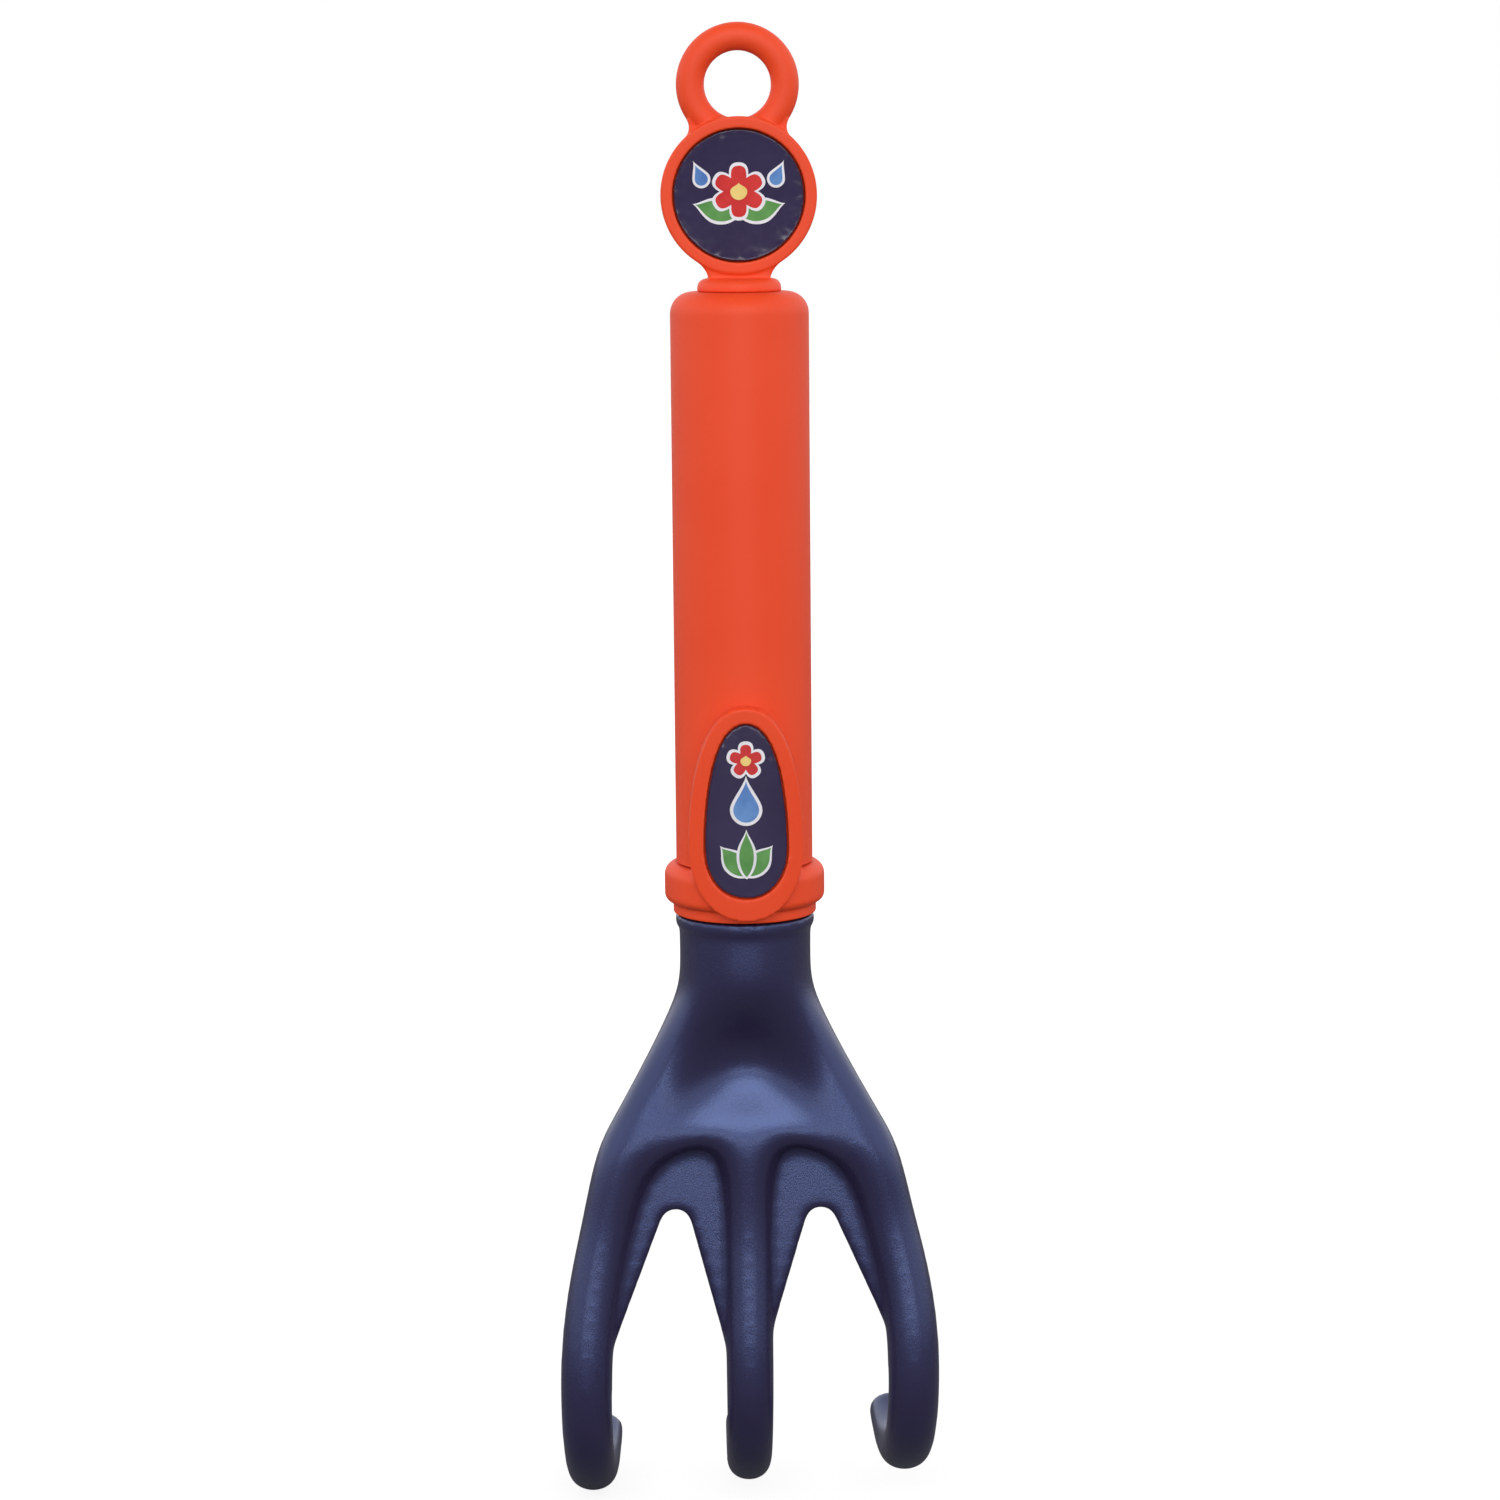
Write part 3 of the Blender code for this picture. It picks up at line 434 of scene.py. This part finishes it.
# %% Sizes of the hanger
FLANGE_BOTTOM = 112.7
FLANGE_HEIGHT = 2.0
FLANGE_RADIUS = 7.5
FLANGE_ROUND = 1.6
FLANGE_SEAT = 0.28
FRAME_RADIUS = 13.85
FRAME_BORDER = 2.05
FRAME_THICKNESS = 7.6
FRAME_LIFT = 0.8
FRAME_ROUND = 1.5
FRAME_EDGE = 0.2
FRAME_MIDDLE = FLANGE_BOTTOM + FLANGE_HEIGHT + FRAME_LIFT + FRAME_RADIUS
RING_RADIUS = 8.4
RING_WIRE = 2.5
RING_SINK = 5.35
RING_MIDDLE = FRAME_MIDDLE + FRAME_RADIUS + RING_RADIUS + RING_WIRE - RING_SINK
DISC_RADIUS = 11.5
DISC_SINK = 0.7
DISC_THICKNESS = 1.0
NECK_HALF_WIDTH = 5.3
NECK_HOLLOW = 5.0
NECK_BLOCK = 7.6
NECK_HALF_DEPTH = 3.4
NECK_INSIDE = 11.6
RING_HOLLOW = 2.5
RING_WEB_HALF_DEPTH = 1.6
HOLLOW_REACH = 9.0
POCKET_REACH = 10.0
STEM_HALF = 3.5
STEM_LENGTH = 4.0
FOOT_RADIUS = 7.0
FOOT_TOP = 3.2
FOOT_BOTTOM = 5.4

half_frame = FRAME_THICKNESS / 2
pocket_depth = DISC_SINK + DISC_THICKNESS + EASE
print("frame's middle at", round(FRAME_MIDDLE, 2), "mm, ring's middle at", round(RING_MIDDLE, 2), "mm")

# %% Round frame with its pocket
bezel = log("bezel", FRAME_RADIUS, at(0, half_frame, FRAME_MIDDLE), at(0, -half_frame, FRAME_MIDDLE))
pick_faces(bezel, lambda face: face.normal.y < -SQUARE_ON)
bpy.ops.object.mode_set(mode="EDIT")
bpy.ops.mesh.select_mode(type="FACE")
bpy.ops.mesh.inset(thickness=FRAME_BORDER * MM)
bpy.ops.mesh.extrude_region_move(TRANSFORM_OT_translate={"value": (0, pocket_depth * MM, 0)})
bpy.ops.object.mode_set(mode="OBJECT")
bevel = bezel.modifiers.new("outer_edges", "BEVEL")
bevel.width = FRAME_ROUND * MM
bevel.segments = 6
bevel.limit_method = "VGROUP"
outer = bezel.vertex_groups.new(name="outer")
centre = at(0, 0, FRAME_MIDDLE)
edge_radius = (FRAME_RADIUS - FRAME_EDGE) * MM
rim_points = [vertex.index for vertex in bezel.data.vertices
              if math.hypot(vertex.co.x - centre.x, vertex.co.z - centre.z) > edge_radius]
outer.add(rim_points, 1.0, "REPLACE")
bevel.vertex_group = "outer"
apply(bezel, bevel)
print("round frame has", len(bezel.data.polygons), "faces")

# %% Ring
bpy.ops.mesh.primitive_torus_add(major_segments=192, minor_segments=64, major_radius=RING_RADIUS * MM,
                                 minor_radius=RING_WIRE * MM, location=at(0, 0, RING_MIDDLE),
                                 rotation=(math.pi / 2, 0, 0))
ring = settle(bpy.context.object)
pocket = log("pocket", DISC_RADIUS + EASE, at(0, pocket_depth - half_frame, FRAME_MIDDLE),
             at(0, -POCKET_REACH, FRAME_MIDDLE))
carve(ring, pocket)
print("ring has", len(ring.data.polygons), "faces")


# %% Neck, and the web between ring and frame
def hollowed(name, low, high, centre_x, centre_z, radius):
    """A block with a round hollow cut into each side."""
    block = slab(name, low, high)
    for side in (-1, 1):
        hollow = log("hollow", radius, at(side * centre_x, -HOLLOW_REACH, centre_z),
                     at(side * centre_x, HOLLOW_REACH, centre_z))
        carve(block, hollow)
        discard(hollow)
    return block


neck_x = NECK_HALF_WIDTH + NECK_HOLLOW
neck_z = FRAME_MIDDLE - math.sqrt((FRAME_RADIUS + NECK_HOLLOW) ** 2 - neck_x ** 2)
neck_foot = FLANGE_BOTTOM + FLANGE_HEIGHT / 4
neck_top = FRAME_MIDDLE - NECK_INSIDE
neck = hollowed("neck", (-NECK_BLOCK, -NECK_HALF_DEPTH, neck_foot), (NECK_BLOCK, NECK_HALF_DEPTH, neck_top),
                neck_x, neck_z, NECK_HOLLOW)
carve(neck, pocket)

apart = RING_MIDDLE - FRAME_MIDDLE
to_frame = FRAME_RADIUS + RING_HOLLOW
to_ring = RING_RADIUS + RING_WIRE + RING_HOLLOW
notch_up = (to_frame ** 2 - to_ring ** 2 + apart ** 2) / (2 * apart)
notch_x = math.sqrt(to_frame ** 2 - notch_up ** 2)
web_low = FRAME_MIDDLE + notch_up * FRAME_RADIUS / to_frame
web_high = RING_MIDDLE - (apart - notch_up) * (RING_RADIUS + RING_WIRE) / to_ring
web_half = notch_x * FRAME_RADIUS / to_frame
ring_web = hollowed("ring_web", (-web_half, -RING_WEB_HALF_DEPTH, web_low),
                    (web_half, RING_WEB_HALF_DEPTH, web_high), notch_x, FRAME_MIDDLE + notch_up, RING_HOLLOW)
print("neck and ring web have", len(neck.data.polygons) + len(ring_web.data.polygons), "faces")

# %% Flange, stem and foot, and one skin over all
flange = drum("flange", FLANGE_RADIUS, FLANGE_BOTTOM - FLANGE_SEAT, FLANGE_BOTTOM + FLANGE_HEIGHT)
round_edges(flange, FLANGE_BOTTOM + FLANGE_HEIGHT, FLANGE_ROUND, 6)
stem = slab("stem", (-STEM_HALF, -STEM_HALF, FLANGE_BOTTOM - STEM_LENGTH),
            (STEM_HALF, STEM_HALF, FLANGE_BOTTOM + FLANGE_HEIGHT / 2))
foot = drum("foot", FOOT_RADIUS, FLANGE_BOTTOM - FOOT_BOTTOM, FLANGE_BOTTOM - FOOT_TOP)
discard(pocket)
hanger = moulded_skin(gather("hanger_skin", bezel, ring, neck, ring_web, flange, stem, foot),
                      SKIN_VOXEL, SKIN_PASSES)

# %% [markdown]
# ## The claw
# Neck, palm, webs and tines are one navy moulding, and the CAD node already has their shape in
# coarse facets. Its copy is merged by distance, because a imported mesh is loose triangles, and gets a
# moulded skin. Many smoothing passes melt the facets and fill the corners between webs and tines; a
# vertex group keeps the crisp lip under the handle out of that.

# %% Skin the claw
CLAW_VOXEL = 0.47
FACET_PASSES = 3
CLAW_PASSES = 36
LIP_FOOT = -2.1
LIP_CLEAR = 0.4
LIP_FADE = 4.0
CLAW_MERGE = 0.01 * MM

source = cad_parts["tine_head"]
claw = source.copy()
claw.data = source.data.copy()
claw.name = "claw_skin"
for key in [key for key in claw.keys() if key.startswith("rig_")]:
    del claw[key]
claw.parent = None
bpy.context.collection.objects.link(claw)
only(claw)
bpy.ops.object.mode_set(mode="EDIT")
bpy.ops.mesh.select_all(action="SELECT")
bpy.ops.mesh.remove_doubles(threshold=CLAW_MERGE)
bpy.ops.object.mode_set(mode="OBJECT")
reskin(claw, CLAW_VOXEL)
soft = claw.vertex_groups.new(name="soft")
for vertex in claw.data.vertices:
    depth = LIP_FOOT - (vertex.co.z - RIM_Z) / MM
    soft.add([vertex.index], min(1.0, max(0.0, (depth - LIP_CLEAR) / LIP_FADE)), "REPLACE")
soften(claw, FACET_PASSES)
soften(claw, CLAW_PASSES, "soft")
only(claw)
bpy.ops.object.shade_smooth()
print("claw has", 2 * len(claw.data.polygons), "triangles")

# %% [markdown]
# ## The label film
# Each recess holds a glossy film label. It lies flat in the middle, but its cut edge lifts and puckers
# a little, which is where the photo shows broken highlights. The plate is cut from the same egg and
# crown as its recess; a Displace modifier with a cloud texture, weighted towards the rim, puckers it.

# %% Make the two labels
PUCKER = 0.16
PUCKER_REACH = 2.6
PUCKER_SIZE = 2.4
FILM_VOXEL = 0.17
FILM_PASSES = 3

clouds = bpy.data.textures.new("film_pucker", "CLOUDS")
clouds.noise_scale = PUCKER_SIZE * MM
clouds.noise_depth = 1


def pucker(label, border):
    """Ruffle a label towards its border, given as points round it."""
    tree = KDTree(len(border))
    for index, point in enumerate(border):
        tree.insert(point, index)
    tree.balance()
    lifted = label.vertex_groups.new(name="lifted")
    for vertex in label.data.vertices:
        near = tree.find(vertex.co)[2] / MM
        lifted.add([vertex.index], max(0.0, 1.0 - near / PUCKER_REACH), "REPLACE")
    ruffle = label.modifiers.new("ruffle", "DISPLACE")
    ruffle.texture = clouds
    ruffle.texture_coords = "LOCAL"
    ruffle.strength = PUCKER * MM
    ruffle.mid_level = 0.5
    ruffle.vertex_group = "lifted"
    apply(label, ruffle)


egg_label = prism("egg_label", egg_knots(0.0), CUT_DEPTH, TONGUE_FACE)
label_face = crown("label_face", LABEL_SINK)
label_back = crown("label_back", LABEL_SINK + LABEL_THICKNESS)
carve(egg_label, label_face, "INTERSECT")
carve(egg_label, label_back)
egg_border = [vertex.co.copy() for vertex in egg_label.data.vertices]
moulded_skin(egg_label, FILM_VOXEL, FILM_PASSES)
pucker(egg_label, egg_border)

disc_face = half_frame - DISC_SINK
disc_label = log("disc_label", DISC_RADIUS, at(0, DISC_THICKNESS - disc_face, FRAME_MIDDLE),
                 at(0, -disc_face, FRAME_MIDDLE))
disc_border = [vertex.co.copy() for vertex in disc_label.data.vertices]
moulded_skin(disc_label, FILM_VOXEL, FILM_PASSES)
pucker(disc_label, disc_border)

# %% [markdown]
# ## The printed design
# The labels carry a small garden: a sprout, a water drop and flowers, in red, blue and green with
# white outlines. Each figure is a Bezier outline made into a prism. On the round label it stands a
# few hundredths of a millimetre out of the flat film; on the egg it is trimmed to the film's crown.

# %% Outlines of leaf, drop and flower
DISC_FACE = Matrix.Translation(at(0, -disc_face, FRAME_MIDDLE)) @ Matrix.Rotation(math.pi / 2, 4, "X")
ROUND_PULL = 0.55
PETAL_SWELL = 0.62
NOTCH_RISE = 0.6
NOTCH_SPLAY = 0.5


def moved(knots, x, y, turn=0.0):
    """Turn an outline by degrees and shift it in millimetres."""
    c = math.cos(math.radians(turn))
    s = math.sin(math.radians(turn))
    swing = [[(c * u - s * v, s * u + c * v) for u, v in knot] for knot in knots]
    return [((place[0] + x, place[1] + y), before, after) for place, before, after in swing]


def leaf_knots(length, width):
    """A leaf that stands on its stalk, with a point at its tip."""
    return [((0, 0), (-0.5 * width, 0.06 * length), (0.5 * width, 0.06 * length)),
            ((width, 0.45 * length), (0, -0.22 * length), (0, 0.25 * length)),
            ((0, length), (0.15 * width, -0.15 * length), (-0.15 * width, -0.15 * length)),
            ((-width, 0.45 * length), (0, 0.25 * length), (0, -0.22 * length))]


def drop_knots(radius, tip):
    """A water drop round its middle, with its tip up."""
    pull = ROUND_PULL * radius
    return [((0, tip), (-0.12 * radius, -0.3 * tip), (0.12 * radius, -0.3 * tip)),
            ((radius, 0), (0, pull), (0, -pull)),
            ((0, -radius), (pull, 0), (-pull, 0)),
            ((-radius, 0), (0, -pull), (0, pull))]


def flower_knots(petals, tip, notch):
    """Round petals with a notch between each two."""
    knots = []
    step = 2 * math.pi / petals
    swell = PETAL_SWELL * tip * math.sin(step / 2)
    for number in range(petals):
        angle = math.pi / 2 - number * step
        out = (math.cos(angle), math.sin(angle))
        along = (math.sin(angle), -math.cos(angle))
        knots.append(((tip * out[0], tip * out[1]), (-swell * along[0], -swell * along[1]),
                      (swell * along[0], swell * along[1])))
        middle = angle - step / 2
        inward = (math.cos(middle), math.sin(middle))
        rise = NOTCH_RISE * (tip - notch)
        before = (rise * math.cos(middle + NOTCH_SPLAY), rise * math.sin(middle + NOTCH_SPLAY))
        after = (rise * math.cos(middle - NOTCH_SPLAY), rise * math.sin(middle - NOTCH_SPLAY))
        knots.append(((notch * inward[0], notch * inward[1]), before, after))
    return knots


print("a flower of six petals has", len(flower_knots(6, 2.0, 1.0)), "knots")

# %% Print them on both labels
PRINT_STEP = 0.012
HEART_LEVEL = 13
prints = {colour: [] for colour in ("white", "green", "blue", "red", "cream")}


def print_on_disc(colour, knots, level):
    """One figure on the round label; its level keeps it clear of the figures under it."""
    prints[colour].append(prism("figure", knots, level * PRINT_STEP, DISC_FACE))


def print_on_egg(colour, knots, level):
    """One figure on the egg-shaped label, trimmed to the film's crown."""
    figure = prism("figure", knots, CUT_DEPTH, TONGUE_FACE)
    top = crown("print_top", LABEL_SINK - level * PRINT_STEP)
    bottom = crown("print_bottom", LABEL_SINK + level * PRINT_STEP)
    carve(figure, top, "INTERSECT")
    carve(figure, bottom)
    discard(top, bottom)
    prints[colour].append(figure)


DISC_FIGURES = [
    ("green", leaf_knots, (7.4, 1.75), (8.4, 2.3), (-0.6, -3.6, 74)),
    ("green", leaf_knots, (7.4, 1.75), (8.4, 2.3), (0.6, -3.6, -74)),
    ("red", flower_knots, (6, 4.5, 2.7), (6, 5.1, 3.4), (0, 0.7, 0)),
    ("blue", drop_knots, (1.15, 2.7), (1.6, 3.5), (-6.6, 2.9, 24)),
    ("blue", drop_knots, (1.15, 2.7), (1.6, 3.5), (6.6, 2.9, -24)),
]
EGG_FIGURES = [
    ("green", leaf_knots, (6.6, 1.7), (7.5, 2.2), (-0.2, -11.6, 40)),
    ("green", leaf_knots, (6.6, 1.7), (7.5, 2.2), (0.2, -11.6, -40)),
    ("green", leaf_knots, (8.2, 1.3), (9.1, 1.8), (0, -11.8, 0)),
    ("blue", drop_knots, (2.3, 5.2), (2.9, 6.2), (0, 0.4, 0)),
    ("red", flower_knots, (5, 2.9, 1.6), (5, 3.5, 2.3), (0, 9.3, 0)),
]
for printer, figures in ((print_on_disc, DISC_FIGURES), (print_on_egg, EGG_FIGURES)):
    for number, (colour, shape, inner, outer_size, (x, y, turn)) in enumerate(figures):
        sunk = (outer_size[0] - inner[0]) / 2 if shape is leaf_knots else 0.0
        lean = math.radians(turn)
        border = moved(shape(*outer_size), x + sunk * math.sin(lean), y - sunk * math.cos(lean), turn)
        printer("white", border, 2 * number + 2)
        printer(colour, moved(shape(*inner), x, y, turn), 2 * number + 3)
print_on_disc("cream", moved(drop_knots(1.5, 1.5), 0, 0.7), HEART_LEVEL)
print_on_egg("cream", moved(drop_knots(0.95, 0.95), 0, 9.3), HEART_LEVEL)
print_pieces = {}
for colour, figures in prints.items():
    print_pieces[colour] = gather("print_" + colour, *figures)
    print("print_" + colour, "has", len(figures), "figures")
discard(label_face, label_back)

# %% [markdown]
# ## Shared surface effects
# Two shader groups serve all the finishes. One gives the fine grain that a spark-eroded mould leaves
# in plastic: a height for the bump and a mask for the roughness. The other gives the soft drift of
# tone that any moulding or print has, so that no colour is dead flat.


# %% Build the shader groups
def node(tree, kind, **values):
    """A new node with some of its settings."""
    made = tree.nodes.new(kind)
    for key, value in values.items():
        setattr(made, key, value)
    return made


def new_group(name, inputs, outputs):
    """An empty shader group with float inputs and outputs of the given kinds."""
    tree = bpy.data.node_groups.new(name, "ShaderNodeTree")
    for label, value in inputs.items():
        socket = tree.interface.new_socket(label, in_out="INPUT", socket_type="NodeSocketFloat")
        socket.default_value = value
    for label in outputs:
        tree.interface.new_socket(label, in_out="OUTPUT", socket_type="NodeSocketFloat")
    return tree, node(tree, "NodeGroupInput"), node(tree, "NodeGroupOutput")


def noise(tree, coordinates, scale, detail):
    """A noise texture whose scale is a group input socket or a number."""
    made = node(tree, "ShaderNodeTexNoise")
    made.inputs["Detail"].default_value = detail
    tree.links.new(coordinates, made.inputs["Vector"])
    if isinstance(scale, float):
        made.inputs["Scale"].default_value = scale
    else:
        tree.links.new(scale, made.inputs["Scale"])
    return made.outputs["Fac"]


def spread(tree, value, low, high, to_low, to_high):
    """Map a value from one range to another, clamped."""
    made = node(tree, "ShaderNodeMapRange")
    tree.links.new(value, made.inputs["Value"])
    for label, number in (("From Min", low), ("From Max", high), ("To Min", to_low), ("To Max", to_high)):
        made.inputs[label].default_value = number
    return made.outputs["Result"]


GRAIN, grain_in, grain_out = new_group("mould_grain", {"Scale": 3000.0}, ("Height", "Mask"))
place = node(GRAIN, "ShaderNodeTexCoord").outputs["Object"]
fine = noise(GRAIN, place, grain_in.outputs["Scale"], 2.0)
GRAIN.links.new(spread(GRAIN, fine, 0.3, 0.7, 0.0, 1.0), grain_out.inputs["Height"])
GRAIN.links.new(spread(GRAIN, fine, 0.4, 0.75, 0.0, 1.0), grain_out.inputs["Mask"])

DRIFT, drift_in, drift_out = new_group("tone_drift", {"Scale": 40.0}, ("Tone",))
place = node(DRIFT, "ShaderNodeTexCoord").outputs["Object"]
wide = noise(DRIFT, place, drift_in.outputs["Scale"], 3.0)
DRIFT.links.new(spread(DRIFT, wide, 0.3, 0.7, 0.0, 1.0), drift_out.inputs["Tone"])
print("groups:", GRAIN.name, DRIFT.name)

# %% [markdown]
# ## The finishes
# Each finish mixes two close colours by the tone drift, lets the grain mask move its roughness a
# little and feeds the grain height to a Bump. The orange is matte, the navy is satin with a coarser
# spark grain, and the film and its inks are glossy.


# %% Make the materials
def finish(name, dark, light, drift_scale, rough, grain_scale, grain_height, **plain):
    """A plastic or ink with drifting tone, grain-driven roughness and a fine bump."""
    material = bpy.data.materials.new(name)
    material.use_nodes = True
    tree = material.node_tree
    shader = tree.nodes["Principled BSDF"]
    for label, value in plain.items():
        shader.inputs[label.replace("_", " ")].default_value = value
    drift = node(tree, "ShaderNodeGroup", node_tree=DRIFT)
    drift.inputs["Scale"].default_value = drift_scale
    grain = node(tree, "ShaderNodeGroup", node_tree=GRAIN)
    grain.inputs["Scale"].default_value = grain_scale
    colour = node(tree, "ShaderNodeMix", data_type="RGBA")
    colour.inputs["A"].default_value = (*dark, 1.0)
    colour.inputs["B"].default_value = (*light, 1.0)
    tree.links.new(drift.outputs["Tone"], colour.inputs["Factor"])
    tree.links.new(colour.outputs["Result"], shader.inputs["Base Color"])
    tree.links.new(spread(tree, grain.outputs["Mask"], 0.0, 1.0, *rough), shader.inputs["Roughness"])
    bump = node(tree, "ShaderNodeBump")
    bump.inputs["Strength"].default_value = 1.0
    bump.inputs["Distance"].default_value = grain_height * MM
    tree.links.new(grain.outputs["Height"], bump.inputs["Height"])
    tree.links.new(bump.outputs["Normal"], shader.inputs["Normal"])
    return material


ORANGE = finish("orange_plastic", (0.790, 0.056, 0.009), (0.815, 0.065, 0.013), 45.0, (0.50, 0.58),
                2600.0, 0.006, Specular_IOR_Level=0.36)
NAVY = finish("navy_plastic", (0.020, 0.012, 0.038), (0.026, 0.017, 0.047), 60.0, (0.29, 0.37),
              2600.0, 0.019, IOR=1.65, Specular_IOR_Level=1.0, Specular_Tint=(0.20, 0.36, 0.92, 1.0),
              Coat_Weight=0.45, Coat_Roughness=0.29)
PRESS_GRAIN = (900.0, 0.002)
FILM = finish("label_film", (0.030, 0.022, 0.064), (0.038, 0.029, 0.078), 120.0, (0.12, 0.16), *PRESS_GRAIN)
INK_ROUGH = (0.09, 0.13)
INK_TONES = {
    "white": ((0.74, 0.72, 0.78), (0.83, 0.82, 0.86), 300.0),
    "green": ((0.095, 0.270, 0.075), (0.150, 0.360, 0.110), 260.0),
    "blue": ((0.085, 0.190, 0.480), (0.150, 0.310, 0.620), 260.0),
    "red": ((0.540, 0.030, 0.034), (0.680, 0.055, 0.050), 260.0),
    "cream": ((0.80, 0.56, 0.16), (0.86, 0.66, 0.24), 300.0),
}
INKS = {colour: finish("ink_" + colour, *tones, INK_ROUGH, *PRESS_GRAIN)
        for colour, tones in INK_TONES.items()}
print("finishes:", ORANGE.name, NAVY.name, FILM.name, "and", len(INKS), "inks")

# %% [markdown]
# ## Dressing the frame
# A finish goes on in place of whatever the mesh carried. Then each piece is tied to the tool's one body
# and the CAD piece that it covers is hidden. The prints hide none, because they lie on the film.


# %% Dress the pieces and tie them to the frame
def wear(piece, material):
    """Give a piece one finish in place of whatever its mesh carried."""
    piece.data.materials.clear()
    piece.data.materials.append(material)
    for face in piece.data.polygons:
        face.material_index = 0


DRESS = [
    (grip_front, ORANGE, "orange_plastic", "grip_front_shell"),
    (grip_rear, ORANGE, "orange_plastic", "grip_rear_shell"),
    (ferrule, ORANGE, "orange_plastic", "ferrule"),
    (hanger, ORANGE, "orange_plastic", "hanger"),
    (egg_label, FILM, "badge_film", "teardrop_badge"),
    (disc_label, FILM, "badge_film", "round_badge"),
    (claw, NAVY, "navy_plastic", "tine_head"),
]
for piece, material, slot_name, cad_node in DRESS:
    wear(piece, material)
    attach(piece, "root")
    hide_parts(cad_node)
for colour, piece in print_pieces.items():
    wear(piece, INKS[colour])
    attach(piece, "root")
print("dressed", len(DRESS) + len(print_pieces), "pieces")

# %% [markdown]
# ## Studio
# The photo has a white background and very even light: the orange hardly changes across the grip.
# So the tool stands on a white floor in a room that is white at the sides and behind the tool but dim
# behind the camera, where the satin navy mirrors it. A surface that mirrors the walls sees plain white.
# A softbox above the camera draws the highlight on the palm, and a low strip under the camera draws
# those down the tines. Between the two lamps lies the dark that the flat label mirrors, so that its
# print stays clear.


# %% White room
def math_node(tree, operation, first, second=None):
    """The outcome of one sum on sockets or numbers."""
    made = node(tree, "ShaderNodeMath", operation=operation)
    for socket, value in zip(made.inputs, (first, second)):
        if isinstance(value, float):
            socket.default_value = value
        elif value is not None:
            tree.links.new(value, socket)
    return made.outputs["Value"]


ROOM_FRONT = 0.05
ROOM_SIDES = 1.75
WALL_FROM = 0.35
WALL_TO = 0.85
world = bpy.data.worlds.new("white_room")
bpy.context.scene.world = world
world.use_nodes = True
tree = world.node_tree
background = tree.nodes["Background"]
direction = node(tree, "ShaderNodeTexCoord").outputs["Generated"]
split = node(tree, "ShaderNodeSeparateXYZ")
tree.links.new(direction, split.inputs["Vector"])
aside = math_node(tree, "MAXIMUM", math_node(tree, "ABSOLUTE", split.outputs["X"]), split.outputs["Y"])
room = spread(tree, aside, WALL_FROM, WALL_TO, ROOM_FRONT, ROOM_SIDES)
path = node(tree, "ShaderNodeLightPath")
mirrored = math_node(tree, "MAXIMUM", path.outputs["Is Glossy Ray"], path.outputs["Is Transmission Ray"])
walls = math_node(tree, "MULTIPLY", mirrored, spread(tree, aside, WALL_FROM, WALL_TO, 0.0, 1.0))
white_seen = math_node(tree, "MAXIMUM", path.outputs["Is Camera Ray"], walls)
keep = math_node(tree, "SUBTRACT", 1.0, white_seen)
dimmed = math_node(tree, "MULTIPLY", keep, room)
tree.links.new(math_node(tree, "ADD", dimmed, white_seen), background.inputs["Strength"])
background.inputs["Color"].default_value = (1.0, 1.0, 1.0, 1.0)
print("the room gives", ROOM_FRONT, "from the front and", ROOM_SIDES, "from the sides")

# %% Floor
FLOOR_SIZE = 6.0
FLOOR_MATTE = (0.16, 0.16, 0.16, 1.0)
GLOW_NEAR = 0.88
GLOW_FAR = 1.0
NEAR_TOOL = 0.08
FAR_FROM_TOOL = 0.5
bpy.ops.mesh.primitive_plane_add(size=FLOOR_SIZE, location=(0, 0, 0))
floor = bpy.context.object
floor.name = "floor"
white = bpy.data.materials.new("floor_white")
white.use_nodes = True
tree = white.node_tree
tree.nodes.clear()
matte = node(tree, "ShaderNodeBsdfDiffuse")
matte.inputs["Color"].default_value = FLOOR_MATTE
glow = node(tree, "ShaderNodeEmission")
distance = node(tree, "ShaderNodeVectorMath", operation="LENGTH")
tree.links.new(node(tree, "ShaderNodeTexCoord").outputs["Object"], distance.inputs[0])
far = spread(tree, distance.outputs["Value"], NEAR_TOOL, FAR_FROM_TOOL, GLOW_NEAR, GLOW_FAR)
seen = node(tree, "ShaderNodeLightPath").outputs["Is Camera Ray"]
tree.links.new(math_node(tree, "MULTIPLY", far, seen), glow.inputs["Strength"])
both = node(tree, "ShaderNodeAddShader")
tree.links.new(matte.outputs["BSDF"], both.inputs[0])
tree.links.new(glow.outputs["Emission"], both.inputs[1])
output = node(tree, "ShaderNodeOutputMaterial")
tree.links.new(both.outputs["Shader"], output.inputs["Surface"])
floor.data.materials.append(white)
floor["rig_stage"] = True
print("floor is", FLOOR_SIZE, "m wide")


# %% Lamps
def softbox(name, place, aim, width, height, power):
    """A rectangular lamp that faces a point."""
    bpy.ops.object.light_add(type="AREA", location=place)
    lamp = bpy.context.object
    lamp.name = name
    lamp.data.shape = "RECTANGLE"
    lamp.data.size = width
    lamp.data.size_y = height
    lamp.data.energy = power
    lamp.rotation_euler = (Vector(aim) - Vector(place)).to_track_quat("-Z", "Y").to_euler()


softbox("high_front", (0.0, -0.85, 0.70), (0.0, 0.0, 0.13), 0.8, 0.7, 6.0)
softbox("low_front", (0.0, -0.74, 0.12), (0.0, 0.0, 0.06), 0.7, 0.09, 0.80)
bpy.context.scene.view_settings.view_transform = "Standard"
print("two lamps in front of the tool")

# %% [markdown]
# ## Closing
# A dressed part has to keep the size of its solids, so the heights of both boxes are printed side by side.

# %% Print the height of the solids and of the dressed part
dressed_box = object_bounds()
heights = [round((box[1][2] - box[0][2]) / MM, 1) for box in (CAD_BOX, dressed_box)]
print("height of solids and of the dressed part in mm:", heights)
